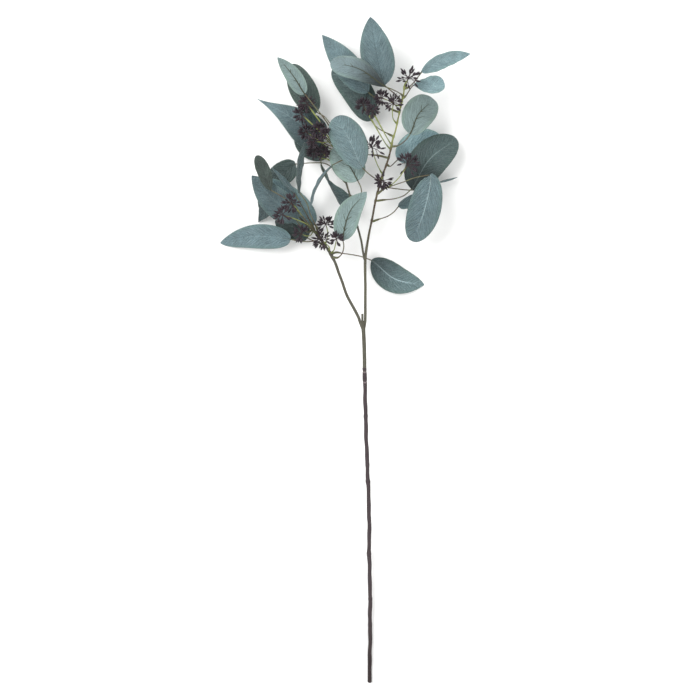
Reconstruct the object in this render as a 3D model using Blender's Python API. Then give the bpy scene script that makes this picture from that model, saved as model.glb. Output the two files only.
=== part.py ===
"""A spray of seeded eucalyptus lying flat: one cut stem, three twigs, loose leaves and umbels of pointed buds.

Lengths are written in millimetres and turned into metres when a mesh is made. +Y runs along the
spray from the cut end to the tip, +Z is up, and the lowest leaves touch the surface at z = 0.
"""

import math
import random

import bmesh
import bpy
import numpy as np
from mathutils import Matrix, Vector

MM = 0.001

# Driving dimensions, in millimetres.
STEM_RADIUS = 2.55
CUT_RADIUS = 1.95
COLLAR_RADIUS = 2.8
COLLAR_LENGTH = 19
NECK_RADIUS = 2.5
FORK_RADIUS = 3.2
STUB_RADIUS = 1.35
PETIOLE_RADIUS = 0.6
SLEEVE_RADIUS = 1.35
BLADE_THICKNESS = 0.6
JOINT_GAP = 0.4
STALK_RADIUS = 0.6
HEAD_RADIUS = 1.3
PEDICEL_RADIUS = 0.4
BUD_RADIUS = 1.6
PEDICEL_SHARE = 0.46
BELLY_SHARE = 0.68

# Places of the rings along a leaf, as shares of the petiole and then of the blade.
PETIOLE_STATIONS = (0.0, 0.06, 0.16, 0.3, 0.5, 0.75)
BLADE_STATIONS = (0.0, 0.05, 0.14, 0.27, 0.41, 0.55, 0.69, 0.82, 0.92, 0.98)

# Corner places of a ring across a leaf: share of half the width, and side of the blade.
RING = ((1.0, 0), (0.42, 1), (-0.42, 1), (-1.0, 0), (-0.42, -1), (0.42, -1))

# Centre lines of the stem and of the twigs.
STEM_ROUTE = (
    (0.8, -2.8, 2.6),
    (0.9, 11, 2.9),
    (1.4, 35, 3.9),
    (1.5, 84, 6.0),
    (1.6, 112, 7.2),
    (0.3, 160, 9.3),
    (0.6, 182, 10.2),
    (-0.2, 225, 12.0),
    (-1.1, 251, 13.0),
    (-2.5, 286, 14.4),
    (-4.1, 331, 16.0),
    (-4.8, 362, 17.2),
    (-5.4, 388, 18.2),
    (-5.5, 394.2, 18.45),
)
NECK_ROUTE = (
    (-5.5, 394.6, 18.45),
    (-5.7, 409, 19.0),
    (-6.3, 429, 19.6),
    (-7.1, 443, 20.0),
    (-8.2, 451.2, 20.2),
    (-8.25, 453.2, 20.2),
    (-8.3, 461.5, 20.3),
)
LEADER_ROUTE = (
    (-4.7, 453.2, 20.2),
    (-4.6, 462, 20.6),
    (-4.6, 479, 21.4),
    (-4.5, 496, 22.4),
    (-4.6, 531, 24.6),
    (-2.0, 550, 26.0),
    (0.9, 566, 27.2),
    (4.0, 580, 28.4),
    (7.6, 600, 30.0),
    (11.8, 617.5, 31.5),
    (16.0, 632.5, 33.0),
    (20.8, 645, 34.2),
    (25.8, 661, 35.8),
    (29.6, 679, 37.5),
    (32.8, 689, 38.4),
    (36.0, 704, 39.6),
    (39.8, 721, 41.0),
    (43.0, 735, 42.0),
    (44.0, 745, 42.6),
)
LEFT_ROUTE = (
    (-11.8, 453.2, 20.2),
    (-13.0, 457, 20.5),
    (-19.8, 470, 21.4),
    (-27.8, 485, 22.4),
    (-33.0, 500, 23.4),
    (-38.3, 514, 24.4),
    (-42.5, 526, 25.4),
    (-46.8, 534, 26.2),
    (-50.6, 541, 27.0),
    (-58.8, 552, 28.4),
    (-66.5, 562.5, 30.0),
    (-74.5, 572, 31.6),
)
MIDDLE_ROUTE = (
    (-7.6, 540, 25.6),
    (-9.6, 552.5, 27.0),
    (-14.0, 569, 28.8),
    (-22.4, 604, 32.0),
    (-28.8, 626, 33.6),
    (-35.0, 647.5, 35.0),
    (-41.3, 666, 36.2),
    (-45.0, 679, 37.0),
)
TWIGS = {"leader": LEADER_ROUTE, "left_branch": LEFT_ROUTE, "middle_branch": MIDDLE_ROUTE}

# Rings standing out of the bark: distance from the cut end, height of the ring and half its length.
BARK_RINGS = (
    (74, 0.3, 4),
    (106, 0.35, 3),
    (163, 0.45, 4),
    (208, 0.25, 5),
    (254, 0.5, 4),
    (275, 0.3, 4),
    (336, 0.45, 4),
    (380, -0.45, 1.4),
    (393, -0.4, 1.4),
)

# Radius of each twig at shares of its length.
TWIG_RADII = {
    "leader": ((0, 1.85), (0.25, 1.75), (0.33, 1.3), (1, 0.85)),
    "left_branch": ((0, 1.9), (0.5, 1.75), (1, 1.0)),
    "middle_branch": ((0, 1.35), (1, 0.9)),
}

# Each leaf: its twig, the way of its petiole, the two ends of its blade, and the shape of the blade.
# The first place of the way is on the twig. A blade has its width across, its roll about its length
# (its left edge up), the rise of its middle, the sway of its middle to the left, the cupping of its
# edges, the fulness of its base and of its tip (low is round, high is drawn out), and a twist that
# is added to the roll from base to tip.
LEAVES = {
    "leaf_top_tall": dict(
        twig="leader",
        way=((41.5, 727, 41), (36, 731, 44), (27, 739, 47)),
        base=(19.5, 745, 48.5),
        tip=(1.5, 832, 36),
        shape=(42, 8, 4, 2, 2.5, 0.55, 0.85, 0),
    ),
    "leaf_top_left": dict(
        twig="leader",
        way=((38, 712, 40), (29, 716, 37), (14, 727, 34)),
        base=(-1, 738, 32),
        tip=(-59, 812, 17),
        shape=(34, -10, 5, 0, 3, 0.6, 0.95, 0),
    ),
    "leaf_top_turned": dict(
        twig="leader",
        way=((42.6, 733, 42), (38, 735, 51), (29, 739, 59)),
        base=(20, 742, 61),
        tip=(-48, 774, 50),
        shape=(30, 14, 6, -6, -3, 0.9, 0.5, 0),
    ),
    "leaf_top_under": dict(
        twig="leader",
        way=((31, 683, 38), (21, 688, 30), (10, 695, 23)),
        base=(3, 704, 19),
        tip=(-46, 770, 1.5),
        shape=(38, -4, 3, -8, 2, 0.5, 0.6, 0),
    ),
    "leaf_tip_long": dict(
        twig="leader",
        way=((43.6, 741, 42.4), (50, 744, 42), (58, 752, 42)),
        base=(65.5, 762, 43),
        tip=(126.5, 786, 34),
        shape=(25, 50, 3, 5, 2, 0.55, 0.8, -8),
    ),
    "leaf_tip_small": dict(
        twig="leader",
        way=((41.8, 730, 41.4), (46.5, 734, 40), (51, 741, 38)),
        base=(55, 746.5, 36),
        tip=(94, 751, 30),
        shape=(25, -20, 2, -2.5, 1.5, 0.9, 0.45, 0),
    ),
    "leaf_right_turned": dict(
        twig="leader",
        way=((27.6, 669, 36.6), (36, 671, 39), (45, 677, 42)),
        base=(51, 685, 43),
        tip=(81, 729, 35),
        shape=(40, -6, 4, 5, 2.5, 0.5, 0.45, 0),
    ),
    "leaf_right_back": dict(
        twig="leader",
        way=((21.8, 648, 34.4), (26.5, 646, 27), (31, 650, 20)),
        base=(36, 655, 15),
        tip=(91, 685, 1.5),
        shape=(36, 4, 3, 5, 2, 0.5, 0.6, 0),
    ),
    "leaf_right_broad": dict(
        twig="leader",
        way=((8.8, 603, 30.4), (20, 604, 30), (30, 605, 29), (43, 609, 28)),
        base=(53, 617.5, 27.5),
        tip=(110, 681, 20),
        shape=(47, -4, 4, 8, 2, 0.45, 0.5, 0),
    ),
    "leaf_right_hanging": dict(
        twig="leader",
        way=((10.6, 612, 31.2), (18, 617, 37), (36, 623, 42), (62, 632, 46)),
        base=(75, 634, 45),
        tip=(54, 552, 27),
        shape=(41, 6, 5, 5, 3, 0.5, 0.5, 0),
    ),
    "leaf_right_edge": dict(
        twig="leader",
        way=((12.6, 620, 31.9), (20, 620, 24), (40, 618, 17)),
        base=(62, 617, 14),
        tip=(111.5, 633.5, 10),
        shape=(15, 84, 0, 1, 0.5, 0.6, 0.7, 0),
    ),
    "leaf_right_folded": dict(
        twig="leader",
        way=((3.4, 577, 28), (13, 580, 27), (22, 583, 25), (31, 589, 22)),
        base=(37, 596, 20),
        tip=(74, 609, 12),
        shape=(18, 38, 2, 3, 3, 0.45, 0.7, 0),
    ),
    "leaf_centre_front": dict(
        twig="leader",
        way=((14.4, 627, 32.5), (9, 629, 42), (1, 634, 50)),
        base=(-8, 642, 54),
        tip=(-41, 706, 55),
        shape=(43, 10, 6, -1, -3, 0.55, 0.45, 0),
    ),
    "leaf_centre_under": dict(
        twig="middle_branch",
        way=((-23, 606, 32.1), (-16, 605, 35), (-10, 610, 38), (-10, 618, 39.5)),
        base=(-14, 627, 40),
        tip=(-44, 669, 40.5),
        shape=(40, 2, 0.5, -2, 1, 0.45, 0.5, 0),
    ),
    "leaf_centre_lower": dict(
        twig="left_branch",
        way=((-45.6, 532, 26), (-40, 531.5, 29), (-34, 536, 35), (-31.5, 545, 40)),
        base=(-32.5, 553, 43),
        tip=(-3, 613, 46),
        shape=(31, 6, 3, 8, 2, 0.5, 0.8, 0),
    ),
    "leaf_low_right": dict(
        twig="left_branch",
        way=((-47.6, 535.4, 26.4), (-42, 538.5, 21), (-30, 537, 15), (-15, 535, 12)),
        base=(3, 529, 11),
        tip=(70, 498.5, 1),
        shape=(36, 4, 3, -9, 1.5, 0.62, 0.85, 0),
    ),
    "leaf_low_left": dict(
        twig="left_branch",
        way=((-56, 548, 27.8), (-66, 552, 24), (-82, 552, 21)),
        base=(-98, 555, 18),
        tip=(-187.5, 551, 0.8),
        shape=(31, -6, 4, -6, 2, 0.45, 0.75, 0),
    ),
    "leaf_left_front": dict(
        twig="left_branch",
        way=((-71, 568, 31), (-76, 563, 37), (-83, 568, 43)),
        base=(-90, 577, 44),
        tip=(-146.5, 634, 35),
        shape=(36, -6, 3, 2, 2.5, 0.55, 0.85, 0),
    ),
    "leaf_left_wide": dict(
        twig="left_branch",
        way=((-67, 563, 30.1), (-62, 565, 28), (-63, 569, 25)),
        base=(-68, 573, 22),
        tip=(-129, 631, 15),
        shape=(36, -5, 2, 0, 2, 0.5, 0.7, 0),
    ),
    "leaf_left_slim": dict(
        twig="left_branch",
        way=((-69.5, 566.3, 30.7), (-75, 580, 29), (-86, 600, 30)),
        base=(-93, 612, 29),
        tip=(-122.5, 645.5, 22),
        shape=(14, 58, 0, 0, 1, 0.6, 1.0, 0),
    ),
    "leaf_left_hanging": dict(
        twig="left_branch",
        way=((-72, 569, 31.1), (-82, 577, 30), (-98, 594, 31), (-114, 609, 29)),
        base=(-126, 612, 25),
        tip=(-139.5, 577, 1.5),
        shape=(22, 12, 0, 3, 1, 0.5, 1.1, 0),
    ),
    "leaf_left_striped": dict(
        twig="middle_branch",
        way=((-29.2, 627.6, 33.7), (-37, 635, 29), (-50, 648, 22), (-60, 651, 18), (-78, 651, 13)),
        base=(-92, 650, 11),
        tip=(-128, 631, 4),
        shape=(30, 8, 2, 3, 2, 0.45, 0.5, 0),
    ),
    "leaf_left_upright": dict(
        twig="left_branch",
        way=((-63, 558, 29.5), (-71, 568, 42), (-90, 590, 52), (-110, 609, 54)),
        base=(-121.5, 614.5, 53),
        tip=(-139.5, 658.5, 46),
        shape=(18, 16, 1, 0, 1, 0.6, 0.5, 0),
    ),
    "leaf_left_lower": dict(
        twig="left_branch",
        way=((-62, 556.5, 29.2), (-65, 553, 22), (-71, 554, 15)),
        base=(-77, 557, 11),
        tip=(-118, 579, 4),
        shape=(30, 4, 2, -4, 1, 0.45, 0.6, 0),
    ),
    "leaf_left_blade": dict(
        twig="left_branch",
        way=((-64, 559, 29.6), (-66, 570, 37), (-73, 585, 42), (-78.5, 601, 43)),
        base=(-86.5, 612, 43),
        tip=(-80, 675, 43),
        shape=(20, 68, 0, 4, 1, 0.6, 0.6, 0),
    ),
    "leaf_left_edge": dict(
        twig="leader",
        way=((24, 655, 35.2), (14, 658, 42), (-8, 659, 46), (-26, 655, 47), (-37, 651, 47.5)),
        base=(-46, 646, 47.5),
        tip=(-73.5, 593, 43),
        shape=(16, 74, 0, -5, 1, 0.7, 0.6, 0),
    ),
    "leaf_middle_twisted": dict(
        twig="middle_branch",
        way=((-39.6, 661, 35.9), (-46, 664, 33), (-56, 661, 30)),
        base=(-60.5, 650, 27),
        tip=(-15, 590, 20),
        shape=(21, 135, 1, -8, -4, 0.8, 0.5, -140),
    ),
    "leaf_upper_turned": dict(
        twig="middle_branch",
        way=((-45, 679, 37), (-47, 690, 45), (-56, 704, 50), (-68, 719, 53)),
        base=(-80, 734, 54),
        tip=(-114, 780, 50),
        shape=(21, -8, 2, -2, 2, 0.45, 0.8, 0),
    ),
    "leaf_upper_back": dict(
        twig="middle_branch",
        way=((-45, 678.4, 37), (-44, 686, 37), (-49, 699, 35), (-55, 707, 33)),
        base=(-65, 713, 32),
        tip=(-96, 775, 20),
        shape=(34, 4, 3, 3, 2, 0.5, 0.6, 0),
    ),
    "leaf_upper_long": dict(
        twig="middle_branch",
        way=((-42.6, 671, 36.5), (-47, 671, 30), (-52, 673, 24)),
        base=(-58, 677, 20),
        tip=(-145, 735, 1.5),
        shape=(44, 4, 4, -4, 2, 0.45, 1.8, 0),
    ),
    "leaf_upper_under": dict(
        twig="middle_branch",
        way=((-40.6, 664, 36.1), (-42, 662, 25), (-45, 661, 15)),
        base=(-51, 662, 9),
        tip=(-93, 685, 1.5),
        shape=(27, 4, 1, 4, 1, 0.45, 0.6, 0),
    ),
}

# Each umbel: its twig, the way of its stalk, its head, the reach of its buds, their flatness and a seed.
UMBELS = {
    "umbel_tip": ("leader", ((44, 744.6, 42.6), (45, 747.5, 45)), (48.5, 753, 48), 19, 0.6, 1),
    "umbel_top_right": ("leader", ((35, 699, 39.2), (30, 704, 43), (29, 712, 46)), (30, 722.5, 47.5), 14, 0.3, 2),
    "umbel_top_left": ("leader", ((28.4, 673, 37), (20, 686, 38), (12, 700, 43)), (4, 713, 49), 11, 0.4, 33),
    "umbel_top_far": ("leader", ((39.6, 720, 40.9), (34, 721, 41), (26, 726, 42)), (16, 730, 43), 12, 0.3, 4),
    "umbel_top_dark": ("leader", ((27, 666, 36.2), (14, 682, 34), (2, 704, 34)), (-7, 721, 37), 13, 0.35, 22),
    "umbel_centre_top": ("leader", ((17.4, 636, 33.3), (12, 644, 36), (7, 656, 39)), (4, 668, 41), 18, 0.6, 5),
    "umbel_right": ("leader", ((13.4, 623, 32.1), (21, 618, 44), (35, 628, 49)), (48, 646, 50), 19, 0.45, 6),
    "umbel_right_near": ("leader", ((15.6, 631, 32.9), (17, 631, 41)), (17.5, 627, 47.5), 14, 0.4, 7),
    "umbel_upper_right": ("middle_branch", ((-44.8, 678.4, 37), (-51, 688, 41), (-62, 702, 44)), (-77, 722, 45), 14, 0.3, 8),
    "umbel_upper_left": ("middle_branch", ((-43.4, 674, 36.7), (-50, 682, 36), (-64, 696, 35)), (-84, 710, 36), 14, 0.4, 9),
    "umbel_dark_top": ("middle_branch", ((-42, 668, 36.4), (-48, 673, 40), (-56, 682, 46)), (-62, 690, 48), 13, 0.5, 10),
    "umbel_dark_left": ("middle_branch", ((-38.8, 658.6, 35.7), (-48, 655, 34), (-60, 656, 34)), (-69, 663.5, 35), 12, 0.6, 11),
    "umbel_dark_right": ("middle_branch", ((-36.8, 652.6, 35.3), (-43, 651, 36), (-52, 654, 39)), (-57, 662, 42), 12, 0.6, 12),
    "umbel_dark_far": ("middle_branch", ((-41.2, 665.6, 36.2), (-50, 668, 36), (-66, 680, 36)), (-78, 688, 36), 13, 0.5, 19),
    "umbel_dark_front": ("middle_branch", ((-43.8, 675, 36.8), (-50, 675, 46), (-58, 674, 52)), (-67.5, 675, 56), 12, 0.6, 20),
    "umbel_dark_near": ("middle_branch", ((-43, 672.6, 36.7), (-46, 676, 47), (-50, 679, 55)), (-54, 684.5, 60), 10, 0.6, 21),
    "umbel_left_top": ("left_branch", ((-74.5, 572, 31.6), (-81, 582, 40), (-87.5, 595, 54)), (-95.5, 598, 62), 15, 0.3, 13),
    "umbel_left_far": ("left_branch", ((-73, 570.5, 31.3), (-79.5, 573.5, 53), (-92, 578.5, 62)), (-106.5, 583, 68), 14, 0.25, 14),
    "umbel_left_low": ("left_branch", ((-69, 565.4, 30.5), (-73, 559, 42), (-78, 558, 49)), (-84.5, 560.5, 51.5), 13, 0.3, 15),
    "umbel_fork": ("left_branch", ((-50.6, 541, 27), (-50, 545, 32), (-54, 549, 36)), (-58, 553, 39), 16, 0.6, 16),
    "umbel_fork_up": ("left_branch", ((-56, 548, 27.8), (-52, 556, 31), (-52, 566, 33)), (-54, 573, 34), 14, 0.5, 17),
    "umbel_fork_small": ("left_branch", ((-48.4, 537, 26.5), (-44.5, 540, 31), (-42, 547, 42)), (-40.5, 554, 53), 12, 0.5, 18),
}

# Colour, roughness and metallic value of each material.
FINISHES = {
    "bark": ((0.16, 0.13, 0.13), 0.7),
    "twig": ((0.22, 0.22, 0.17), 0.65),
    "leaf_blue": ((0.2, 0.28, 0.3), 0.6),
    "leaf_deep": ((0.11, 0.15, 0.15), 0.6),
    "leaf_sage": ((0.26, 0.33, 0.31), 0.7),
    "bud": ((0.05, 0.02, 0.04), 0.5),
}
DEEP_LEAVES = (
    "leaf_top_under",
    "leaf_right_broad",
    "leaf_low_right",
    "leaf_left_striped",
    "leaf_left_upright",
    "leaf_left_lower",
    "leaf_upper_back",
    "leaf_upper_under",
    "leaf_middle_twisted",
)
TURNED_LEAVES = (
    "leaf_top_turned",
    "leaf_right_turned",
    "leaf_centre_under",
    "leaf_centre_lower",
    "leaf_upper_turned",
)


def clear_scene():
    """Remove everything that a new scene holds."""
    for thing in list(bpy.data.objects):
        bpy.data.objects.remove(thing, do_unlink=True)


def finish_named(name):
    """Return the plain material of one finish."""
    material = bpy.data.materials.get(name)
    if material:
        return material
    colour, roughness = FINISHES[name]
    material = bpy.data.materials.new(name)
    material.use_nodes = True
    shader = material.node_tree.nodes["Principled BSDF"]
    shader.inputs["Base Color"].default_value = (*colour, 1.0)
    shader.inputs["Roughness"].default_value = roughness
    shader.inputs["Metallic"].default_value = 0.0
    return material


def smooth_route(points, per_span):
    """Return places on a smooth curve through points, with per_span places in each span."""
    points = np.array(points, float)
    ends = np.vstack([2 * points[0] - points[1], points, 2 * points[-1] - points[-2]])
    places = []
    for index in range(1, len(ends) - 2):
        before, start, end, after = ends[index - 1 : index + 3]
        knots = [0.0]
        for one, two in ((before, start), (start, end), (end, after)):
            knots.append(knots[-1] + max(np.linalg.norm(two - one), 1e-6) ** 0.5)
        for step in range(per_span):
            t = knots[1] + (knots[2] - knots[1]) * step / per_span
            a1 = ((knots[1] - t) * before + (t - knots[0]) * start) / (knots[1] - knots[0])
            a2 = ((knots[2] - t) * start + (t - knots[1]) * end) / (knots[2] - knots[1])
            a3 = ((knots[3] - t) * end + (t - knots[2]) * after) / (knots[3] - knots[2])
            b1 = ((knots[2] - t) * a1 + (t - knots[0]) * a2) / (knots[2] - knots[0])
            b2 = ((knots[3] - t) * a2 + (t - knots[1]) * a3) / (knots[3] - knots[1])
            places.append(((knots[2] - t) * b1 + (t - knots[1]) * b2) / (knots[2] - knots[1]))
    places.append(points[-1])
    return np.array(places)


def distances_along(places):
    """Return how far each place is along its route."""
    steps = np.linalg.norm(np.diff(places, axis=0), axis=1)
    return np.concatenate([[0.0], np.cumsum(steps)])


def place_at(places, distances, distance):
    """Return the place that is a given distance along a route."""
    return np.array([np.interp(distance, distances, places[:, axis]) for axis in range(3)])


def add_tube(name, places, radii, finish, collection):
    """Add a round tube with closed ends along places."""
    curve = bpy.data.curves.new(name, "CURVE")
    curve.dimensions = "3D"
    curve.bevel_depth = MM
    curve.bevel_resolution = 2
    curve.use_fill_caps = True
    spline = curve.splines.new("POLY")
    spline.points.add(len(places) - 1)
    for point, place, radius in zip(spline.points, places, radii):
        point.co = (*(np.array(place) * MM), 1.0)
        point.radius = radius
    tube = bpy.data.objects.new(name, curve)
    tube.data.materials.append(finish_named(finish))
    collection.objects.link(tube)
    return tube


def add_main_stem(collection):
    """Add the brown stem, with its cut end, its bark rings and its collar."""
    route = smooth_route(STEM_ROUTE, 12)
    along = distances_along(route)
    length = along[-1]
    wanted = {0.0, 0.8, 2.5, length - COLLAR_LENGTH - 1.5, length - COLLAR_LENGTH, length - 0.8, length}
    wanted.update(np.linspace(12, length - 30, 14))
    for middle, _, half in BARK_RINGS:
        wanted.update((middle - half, middle, middle + half))
    places = []
    radii = []
    for distance in sorted(wanted):
        radius = COLLAR_RADIUS if distance >= length - COLLAR_LENGTH else STEM_RADIUS
        if distance == 0.0:
            radius = CUT_RADIUS
        if distance == length:
            radius = NECK_RADIUS
        for middle, height, half in BARK_RINGS:
            radius += height * max(0.0, 1 - abs(distance - middle) / half)
        places.append(place_at(route, along, distance))
        radii.append(radius)
    add_tube("main_stem", places, radii, "bark", collection)


def add_neck(collection):
    """Add the grey-green length above the collar: it widens to the fork and ends in a cut stub."""
    places = smooth_route(NECK_ROUTE, 3)
    stations = ((0, NECK_RADIUS), (440, NECK_RADIUS), (451.2, FORK_RADIUS), (453.2, STUB_RADIUS), (461.5, STUB_RADIUS))
    radii = np.interp(places[:, 1], *zip(*stations))
    add_tube("fork_stem", places, radii, "twig", collection)


def twig_radius(twig, share):
    """Return the radius of a twig at a share of its places."""
    return np.interp(share, *zip(*TWIG_RADII[twig]))


def add_twigs(collection):
    """Add the leader and the two side branches, each growing thinner to its end."""
    for name, points in TWIGS.items():
        places = smooth_route(points, 2)
        radii = twig_radius(name, np.linspace(0, 1, len(places)))
        add_tube(name, places, radii, "twig", collection)


def root_on_twig(twig, place, toward):
    """Return the point just clear of a twig, on the side of it that faces toward."""
    places = smooth_route(TWIGS[twig], 6)
    nearest = int(np.argmin(np.linalg.norm(places - np.array(place), axis=1)))
    radius = twig_radius(twig, nearest / (len(places) - 1))
    along = places[min(nearest + 1, len(places) - 1)] - places[max(nearest - 1, 0)]
    along /= np.linalg.norm(along)
    out = np.array(toward, float) - places[nearest]
    if nearest < len(places) - 1:
        out -= along * out.dot(along)
    out /= np.linalg.norm(out)
    return places[nearest] + out * (radius + JOINT_GAP)


def mesh_object(name, vertices, faces, finish, collection):
    """Add one mesh from places in millimetres."""
    mesh = bpy.data.meshes.new(name)
    mesh.from_pydata([tuple(np.array(place) * MM) for place in vertices], [], faces)
    mesh.validate()
    mesh.materials.append(finish_named(finish))
    thing = bpy.data.objects.new(name, mesh)
    collection.objects.link(thing)
    return thing


def leaf_finish(name):
    """Return the finish of the side of the leaf that faces up."""
    if name in TURNED_LEAVES:
        return "leaf_sage"
    return "leaf_deep" if name in DEEP_LEAVES else "leaf_blue"


def add_leaf(name, twig, way, base, tip, shape, collection):
    """Loft one leaf: a round petiole that widens into a thin blade and closes at the tip."""
    width, roll, rise, sway, cup, base_power, tip_power, twist = shape
    base = np.array(base, float)
    tip = np.array(tip, float)
    start = root_on_twig(twig, way[0], way[1])
    level = np.cross((0, 0, 1), tip - base)
    level /= np.linalg.norm(level)
    middle = (base + tip) / 2 + np.array((0, 0, rise)) + level * sway
    route = smooth_route([start, *way[1:], base, middle, tip], 16)
    along = distances_along(route)
    base_index = 16 * len(way)
    petiole_length = along[base_index]
    blade_length = along[-1] - petiole_length
    peak = base_power / (base_power + tip_power)
    fullest = peak**base_power * (1 - peak) ** tip_power
    rings = []
    for share in PETIOLE_STATIONS[1:]:
        sleeve = 1.0 if share < 0.2 else max(0.0, 1 - (share - 0.2) / 0.15)
        radius = PETIOLE_RADIUS + (SLEEVE_RADIUS - PETIOLE_RADIUS) * sleeve
        rings.append((share * petiole_length, radius, radius, 0.0, 0.0))
    for share in BLADE_STATIONS:
        half = width / 2 * share**base_power * (1 - share) ** tip_power / fullest
        edge = cup * half / (width / 2)
        thick = max(BLADE_THICKNESS / 2, PETIOLE_RADIUS * (1 - share / 0.27))
        angle = math.radians(roll + twist * share)
        rings.append((petiole_length + share * blade_length, max(half, PETIOLE_RADIUS), thick, edge, angle))
    first_angle = math.radians(roll)
    vertices = [place_at(route, along, 0.0)]
    for index, (distance, half, thick, edge, angle) in enumerate(rings):
        if distance < petiole_length:
            angle = first_angle * distance / petiole_length
        centre = place_at(route, along, distance)
        ahead = place_at(route, along, min(distance + 0.5, along[-1]))
        behind = place_at(route, along, max(distance - 0.5, 0.0))
        forward = (ahead - behind) / np.linalg.norm(ahead - behind)
        side = np.cross((0, 0, 1), forward)
        side /= np.linalg.norm(side)
        up = np.cross(forward, side)
        across = math.cos(angle) * side + math.sin(angle) * up
        normal = math.cos(angle) * up - math.sin(angle) * side
        for share, face in RING:
            height = edge * share * share + thick * face
            vertices.append(centre + across * share * half + normal * height)
    vertices.append(tip)
    last = len(vertices) - 1
    count = len(RING)
    faces = []
    for corner in range(count):
        other = (corner + 1) % count
        faces.append((0, 1 + other, 1 + corner))
        for index in range(len(rings) - 1):
            low = 1 + index * count
            high = low + count
            faces.append((low + corner, low + other, high + other, high + corner))
        low = 1 + (len(rings) - 1) * count
        faces.append((last, low + corner, low + other))
    return mesh_object(name, vertices, faces, leaf_finish(name), collection)


def dodecahedron(shape, radius):
    """Make a twelve-sided head whose flat sides are five-cornered."""
    golden = (1 + 5**0.5) / 2
    corners = [(x, y, z) for x in (-1, 1) for y in (-1, 1) for z in (-1, 1)]
    for one in (-1 / golden, 1 / golden):
        for two in (-golden, golden):
            corners += [(0, one, two), (one, two, 0), (two, 0, one)]
    for corner in corners:
        shape.verts.new(Vector(corner) * radius / 3**0.5)
    bmesh.ops.convex_hull(shape, input=list(shape.verts))
    bmesh.ops.dissolve_limit(shape, angle_limit=0.02, verts=list(shape.verts), edges=list(shape.edges))


def draw_out(shape, face, centre, forward, radius):
    """Extrude one flat side and set its corners on a ring about centre."""
    middle = face.calc_center_median()
    made = bmesh.ops.extrude_discrete_faces(shape, faces=[face])["faces"][0]
    for corner in made.verts:
        out = corner.co - middle
        out -= forward * out.dot(forward)
        corner.co = centre + out.normalized() * radius
    return made


def add_umbel(name, twig, way, head, reach, flatness, seed, collection):
    """Grow one umbel: a stalk from the twig to a head, and pointed buds on thin pedicels round it."""
    chance = random.Random(seed)
    head = Vector(head)
    start = Vector(root_on_twig(twig, way[0], way[1]))
    places = [Vector(place) for place in smooth_route([start, *way[1:], head], 3)]
    axis = (places[-1] - places[-3]).normalized()
    shape = bmesh.new()
    dodecahedron(shape, HEAD_RADIUS)
    turn = Vector((0, 0, 1)).rotation_difference(axis).to_matrix().to_4x4()
    tilt = Matrix.Rotation(math.radians(31.7175), 4, "X")
    spin = Matrix.Rotation(chance.uniform(0, 2 * math.pi), 4, "Z")
    bmesh.ops.transform(shape, matrix=turn @ spin @ tilt, verts=list(shape.verts))
    sides = sorted(shape.faces, key=lambda side: side.normal.dot(axis))
    stalk_side = sides[0]
    for side in sides[1:]:
        out = side.normal + axis * 0.25
        out += Vector((chance.uniform(-1, 1), chance.uniform(-1, 1), chance.uniform(-1, 1))) * 0.2
        out.z *= flatness
        out.normalize()
        length = reach * chance.uniform(0.86, 1.0)
        ring = draw_out(shape, side, out * length * PEDICEL_SHARE, out, PEDICEL_RADIUS)
        ring = draw_out(shape, ring, out * length * BELLY_SHARE, out, BUD_RADIUS)
        point = bmesh.ops.poke(shape, faces=[ring])["verts"][0]
        point.co = out * length
    ring = stalk_side
    stops = list(reversed(places[:-1]))
    for index, stop in enumerate(stops):
        before = places[-1] if index == 0 else stops[index - 1]
        forward = (stop - before).normalized()
        ring = draw_out(shape, ring, stop - head, forward, STALK_RADIUS)
    bmesh.ops.translate(shape, vec=head, verts=list(shape.verts))
    bmesh.ops.scale(shape, vec=(MM, MM, MM), verts=list(shape.verts))
    bmesh.ops.recalc_face_normals(shape, faces=list(shape.faces))
    mesh = bpy.data.meshes.new(name)
    shape.to_mesh(mesh)
    shape.free()
    mesh.materials.append(finish_named("bud"))
    umbel = bpy.data.objects.new(name, mesh)
    collection.objects.link(umbel)
    return umbel


def rest_on_origin(collection):
    """Move the whole spray so that its bounding box stands on the origin, centred in x and y."""
    graph = bpy.context.evaluated_depsgraph_get()
    corners = []
    for thing in collection.objects:
        evaluated = thing.evaluated_get(graph)
        mesh = evaluated.to_mesh()
        corners += [vertex.co.copy() for vertex in mesh.vertices]
        evaluated.to_mesh_clear()
    low = [min(corner[axis] for corner in corners) for axis in range(3)]
    high = [max(corner[axis] for corner in corners) for axis in range(3)]
    shift = Matrix.Translation((-(low[0] + high[0]) / 2, -(low[1] + high[1]) / 2, -low[2]))
    for thing in collection.objects:
        thing.data.transform(shift)


def main():
    clear_scene()
    collection = bpy.data.collections.new("eucalyptus_branch")
    bpy.context.scene.collection.children.link(collection)
    add_main_stem(collection)
    add_neck(collection)
    add_twigs(collection)
    for name, leaf in LEAVES.items():
        add_leaf(name, leaf["twig"], leaf["way"], leaf["base"], leaf["tip"], leaf["shape"], collection)
    for name, umbel in UMBELS.items():
        add_umbel(name, *umbel, collection)
    bpy.context.view_layer.update()
    rest_on_origin(collection)


main()
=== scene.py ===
"""Dresses a lying spray of seeded eucalyptus: bark, cloth leaves on moulded ribs, bud clusters and a table.

The plain solids of the spray give every place and direction. Each leaf, twig and cluster is read back
from its solid, made again with its finer shape, and covered with a material made of nodes.
"""

import math
import random

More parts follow.
